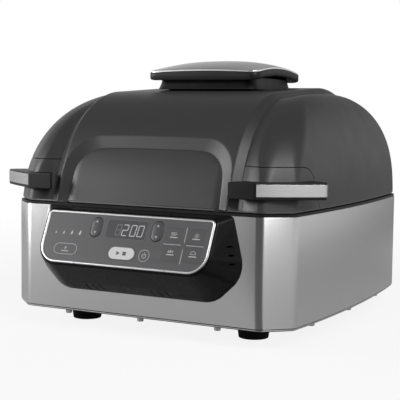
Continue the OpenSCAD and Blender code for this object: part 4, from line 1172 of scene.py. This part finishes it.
def build_marks():
    """Generic signs of the fascia, the display and the keys."""
    sizes = (-80.9, 4.0, 1.7, 2.9), (-71.5, 4.4, 2.2, 3.7), (-61.9, 4.9, 2.9, 4.6), (-52.2, 5.2, 3.6, 5.5)
    for k, size in enumerate(sizes):
        marks(f"heat_mark_{k + 1}", [flame(*size)], "fascia", 0.0)
    ends = (66.4, 3.1, 66.4, 17.8), (66.4, -18.2, 66.4, -3.8), (44.4, 0.3, 63.2, 0.3), (69.1, 0.3, 87.5, 0.3)
    marks("key_dividers", [bar(*line, 0.55) for line in ends], "fascia", 0.0)

    x, v, w, h = WINDOW
    frame_line = border(moved(rounded_rect(w, h, 2.4, 8), x, v), 0.4)
    marks("display_border", frame_line, "display_window", 0.05, "print_ghost")
    marks("display_ghost", digit(-8.7, 5.4, 10.6, "abcdefg", 0.8), "display_window", 0.05, "print_ghost")
    lit = digit(-1.1, 5.6, 11, "abged") + digit(8.1, 5.6, 11, "abcdef") + digit(16.3, 5.6, 11, "abcdef")
    marks("display_digits", lit, "display_window", 0.05)

    for name, up, down in (
        ("temp_rocker", (-34.8, 18.0), (-34.6, 6.2)), ("time_rocker", (35.0, 17.6), (35.1, 5.9))
    ):
        marks(name + "_marks", [triangle(*up, 2.6, 2.2), triangle(*down, 2.6, -2.2)], name, 0.98)
    x, v, w, h = KEYS["grill_button"]
    oval = border(moved(stadium(w - 0.2, h - 0.2), x, v), 0.5)
    fire = [bar(x - 3.8, v - 2.2, x + 3.8, v - 2.2, 0.9), flame(x, v + 1.4, 2.4, 3.6)]
    marks("grill_button_marks", oval + fire, "grill_button", 0.12)
    x, v, w, h = KEYS["power_button"]
    ring = arc(x, v, 6.0, 0.5, steps=40)
    power = arc(x, v - 0.2, 2.5, 0.6, 125, 415, 24) + [bar(x, v + 0.2, x, v + 3.1, 0.6)]
    marks("power_button_marks", ring + power, "power_button", 0.12)
    x, v, w, h = KEYS["start_stop_button"]
    play = [(x - 5.4, v - 2.2), (x - 1.6, v), (x - 5.4, v + 2.2)]
    stop = [(x + 1.6, v - 1.9), (x + 5.4, v - 1.9), (x + 5.4, v + 1.9), (x + 1.6, v + 1.9)]
    marks("start_stop_marks", [play, stop], "start_stop_button", 1.1, "print_dark")

    # The function keys' signs stand on an underline at height v
    def air(x, v):
        ends = (2.2, 1.6), (3.4, 3.2), (4.6, 2.2)
        return [bar(x - 3.4, v + up, x + end, v + up, 0.45) for up, end in ends]

    def sun(x, v):
        turns = [math.tau * k / 8 for k in range(8)]
        rays = [[(x + r * math.cos(a), v + 3.4 + r * math.sin(a)) for r in (2.0, 2.7)] for a in turns]
        return arc(x, v + 3.4, 1.3, 0.45) + [bar(*a, *b, 0.4) for a, b in rays]

    def flames(x, v):
        return [flame(x + dx, v + up, w, h) for dx, up, w, h in (
            (-2.2, 3.3, 1.6, 2.8), (0, 3.6, 1.9, 3.4), (2.2, 3.3, 1.6, 2.8))]

    def loaf(x, v):
        return arc(x, v + 2.4, 3.0, 0.45, 0, 180) + [bar(x - 3.0, v + 2.3, x + 3.0, v + 2.3, 0.45)]

    for k, (sign, v) in enumerate(((air, 7.4), (sun, 7.1), (flames, -9.9), (loaf, -10.15))):
        name = f"function_key_{k + 1}"
        x = KEYS[name][0]
        marks(name + "_marks", [bar(x - 3.8, v, x + 3.8, v, 0.95)] + sign(x, v), name, 0.02)


for build in (
    build_wrap, build_housing, build_panel_face, build_marks, build_arch, build_front_panel, build_shells,
    build_wings, build_pedestal, build_cap, build_base,
):
    build()

# The other CAD nodes keep their shapes, and some get rounded edges
edge_of = {"feet": 0.6, "rim_trim": 0.4, "grill_grate": 0.5, "hinge_bracket": 0.6, "lid_hinge_arm": 0.6}
for node in nodes:
    if node not in replaced:
        material = looks["frame_sheet"].mat if node == "lid_frame" else material_of(node)
        dress(node, material, edge_of.get(node, 0.0))
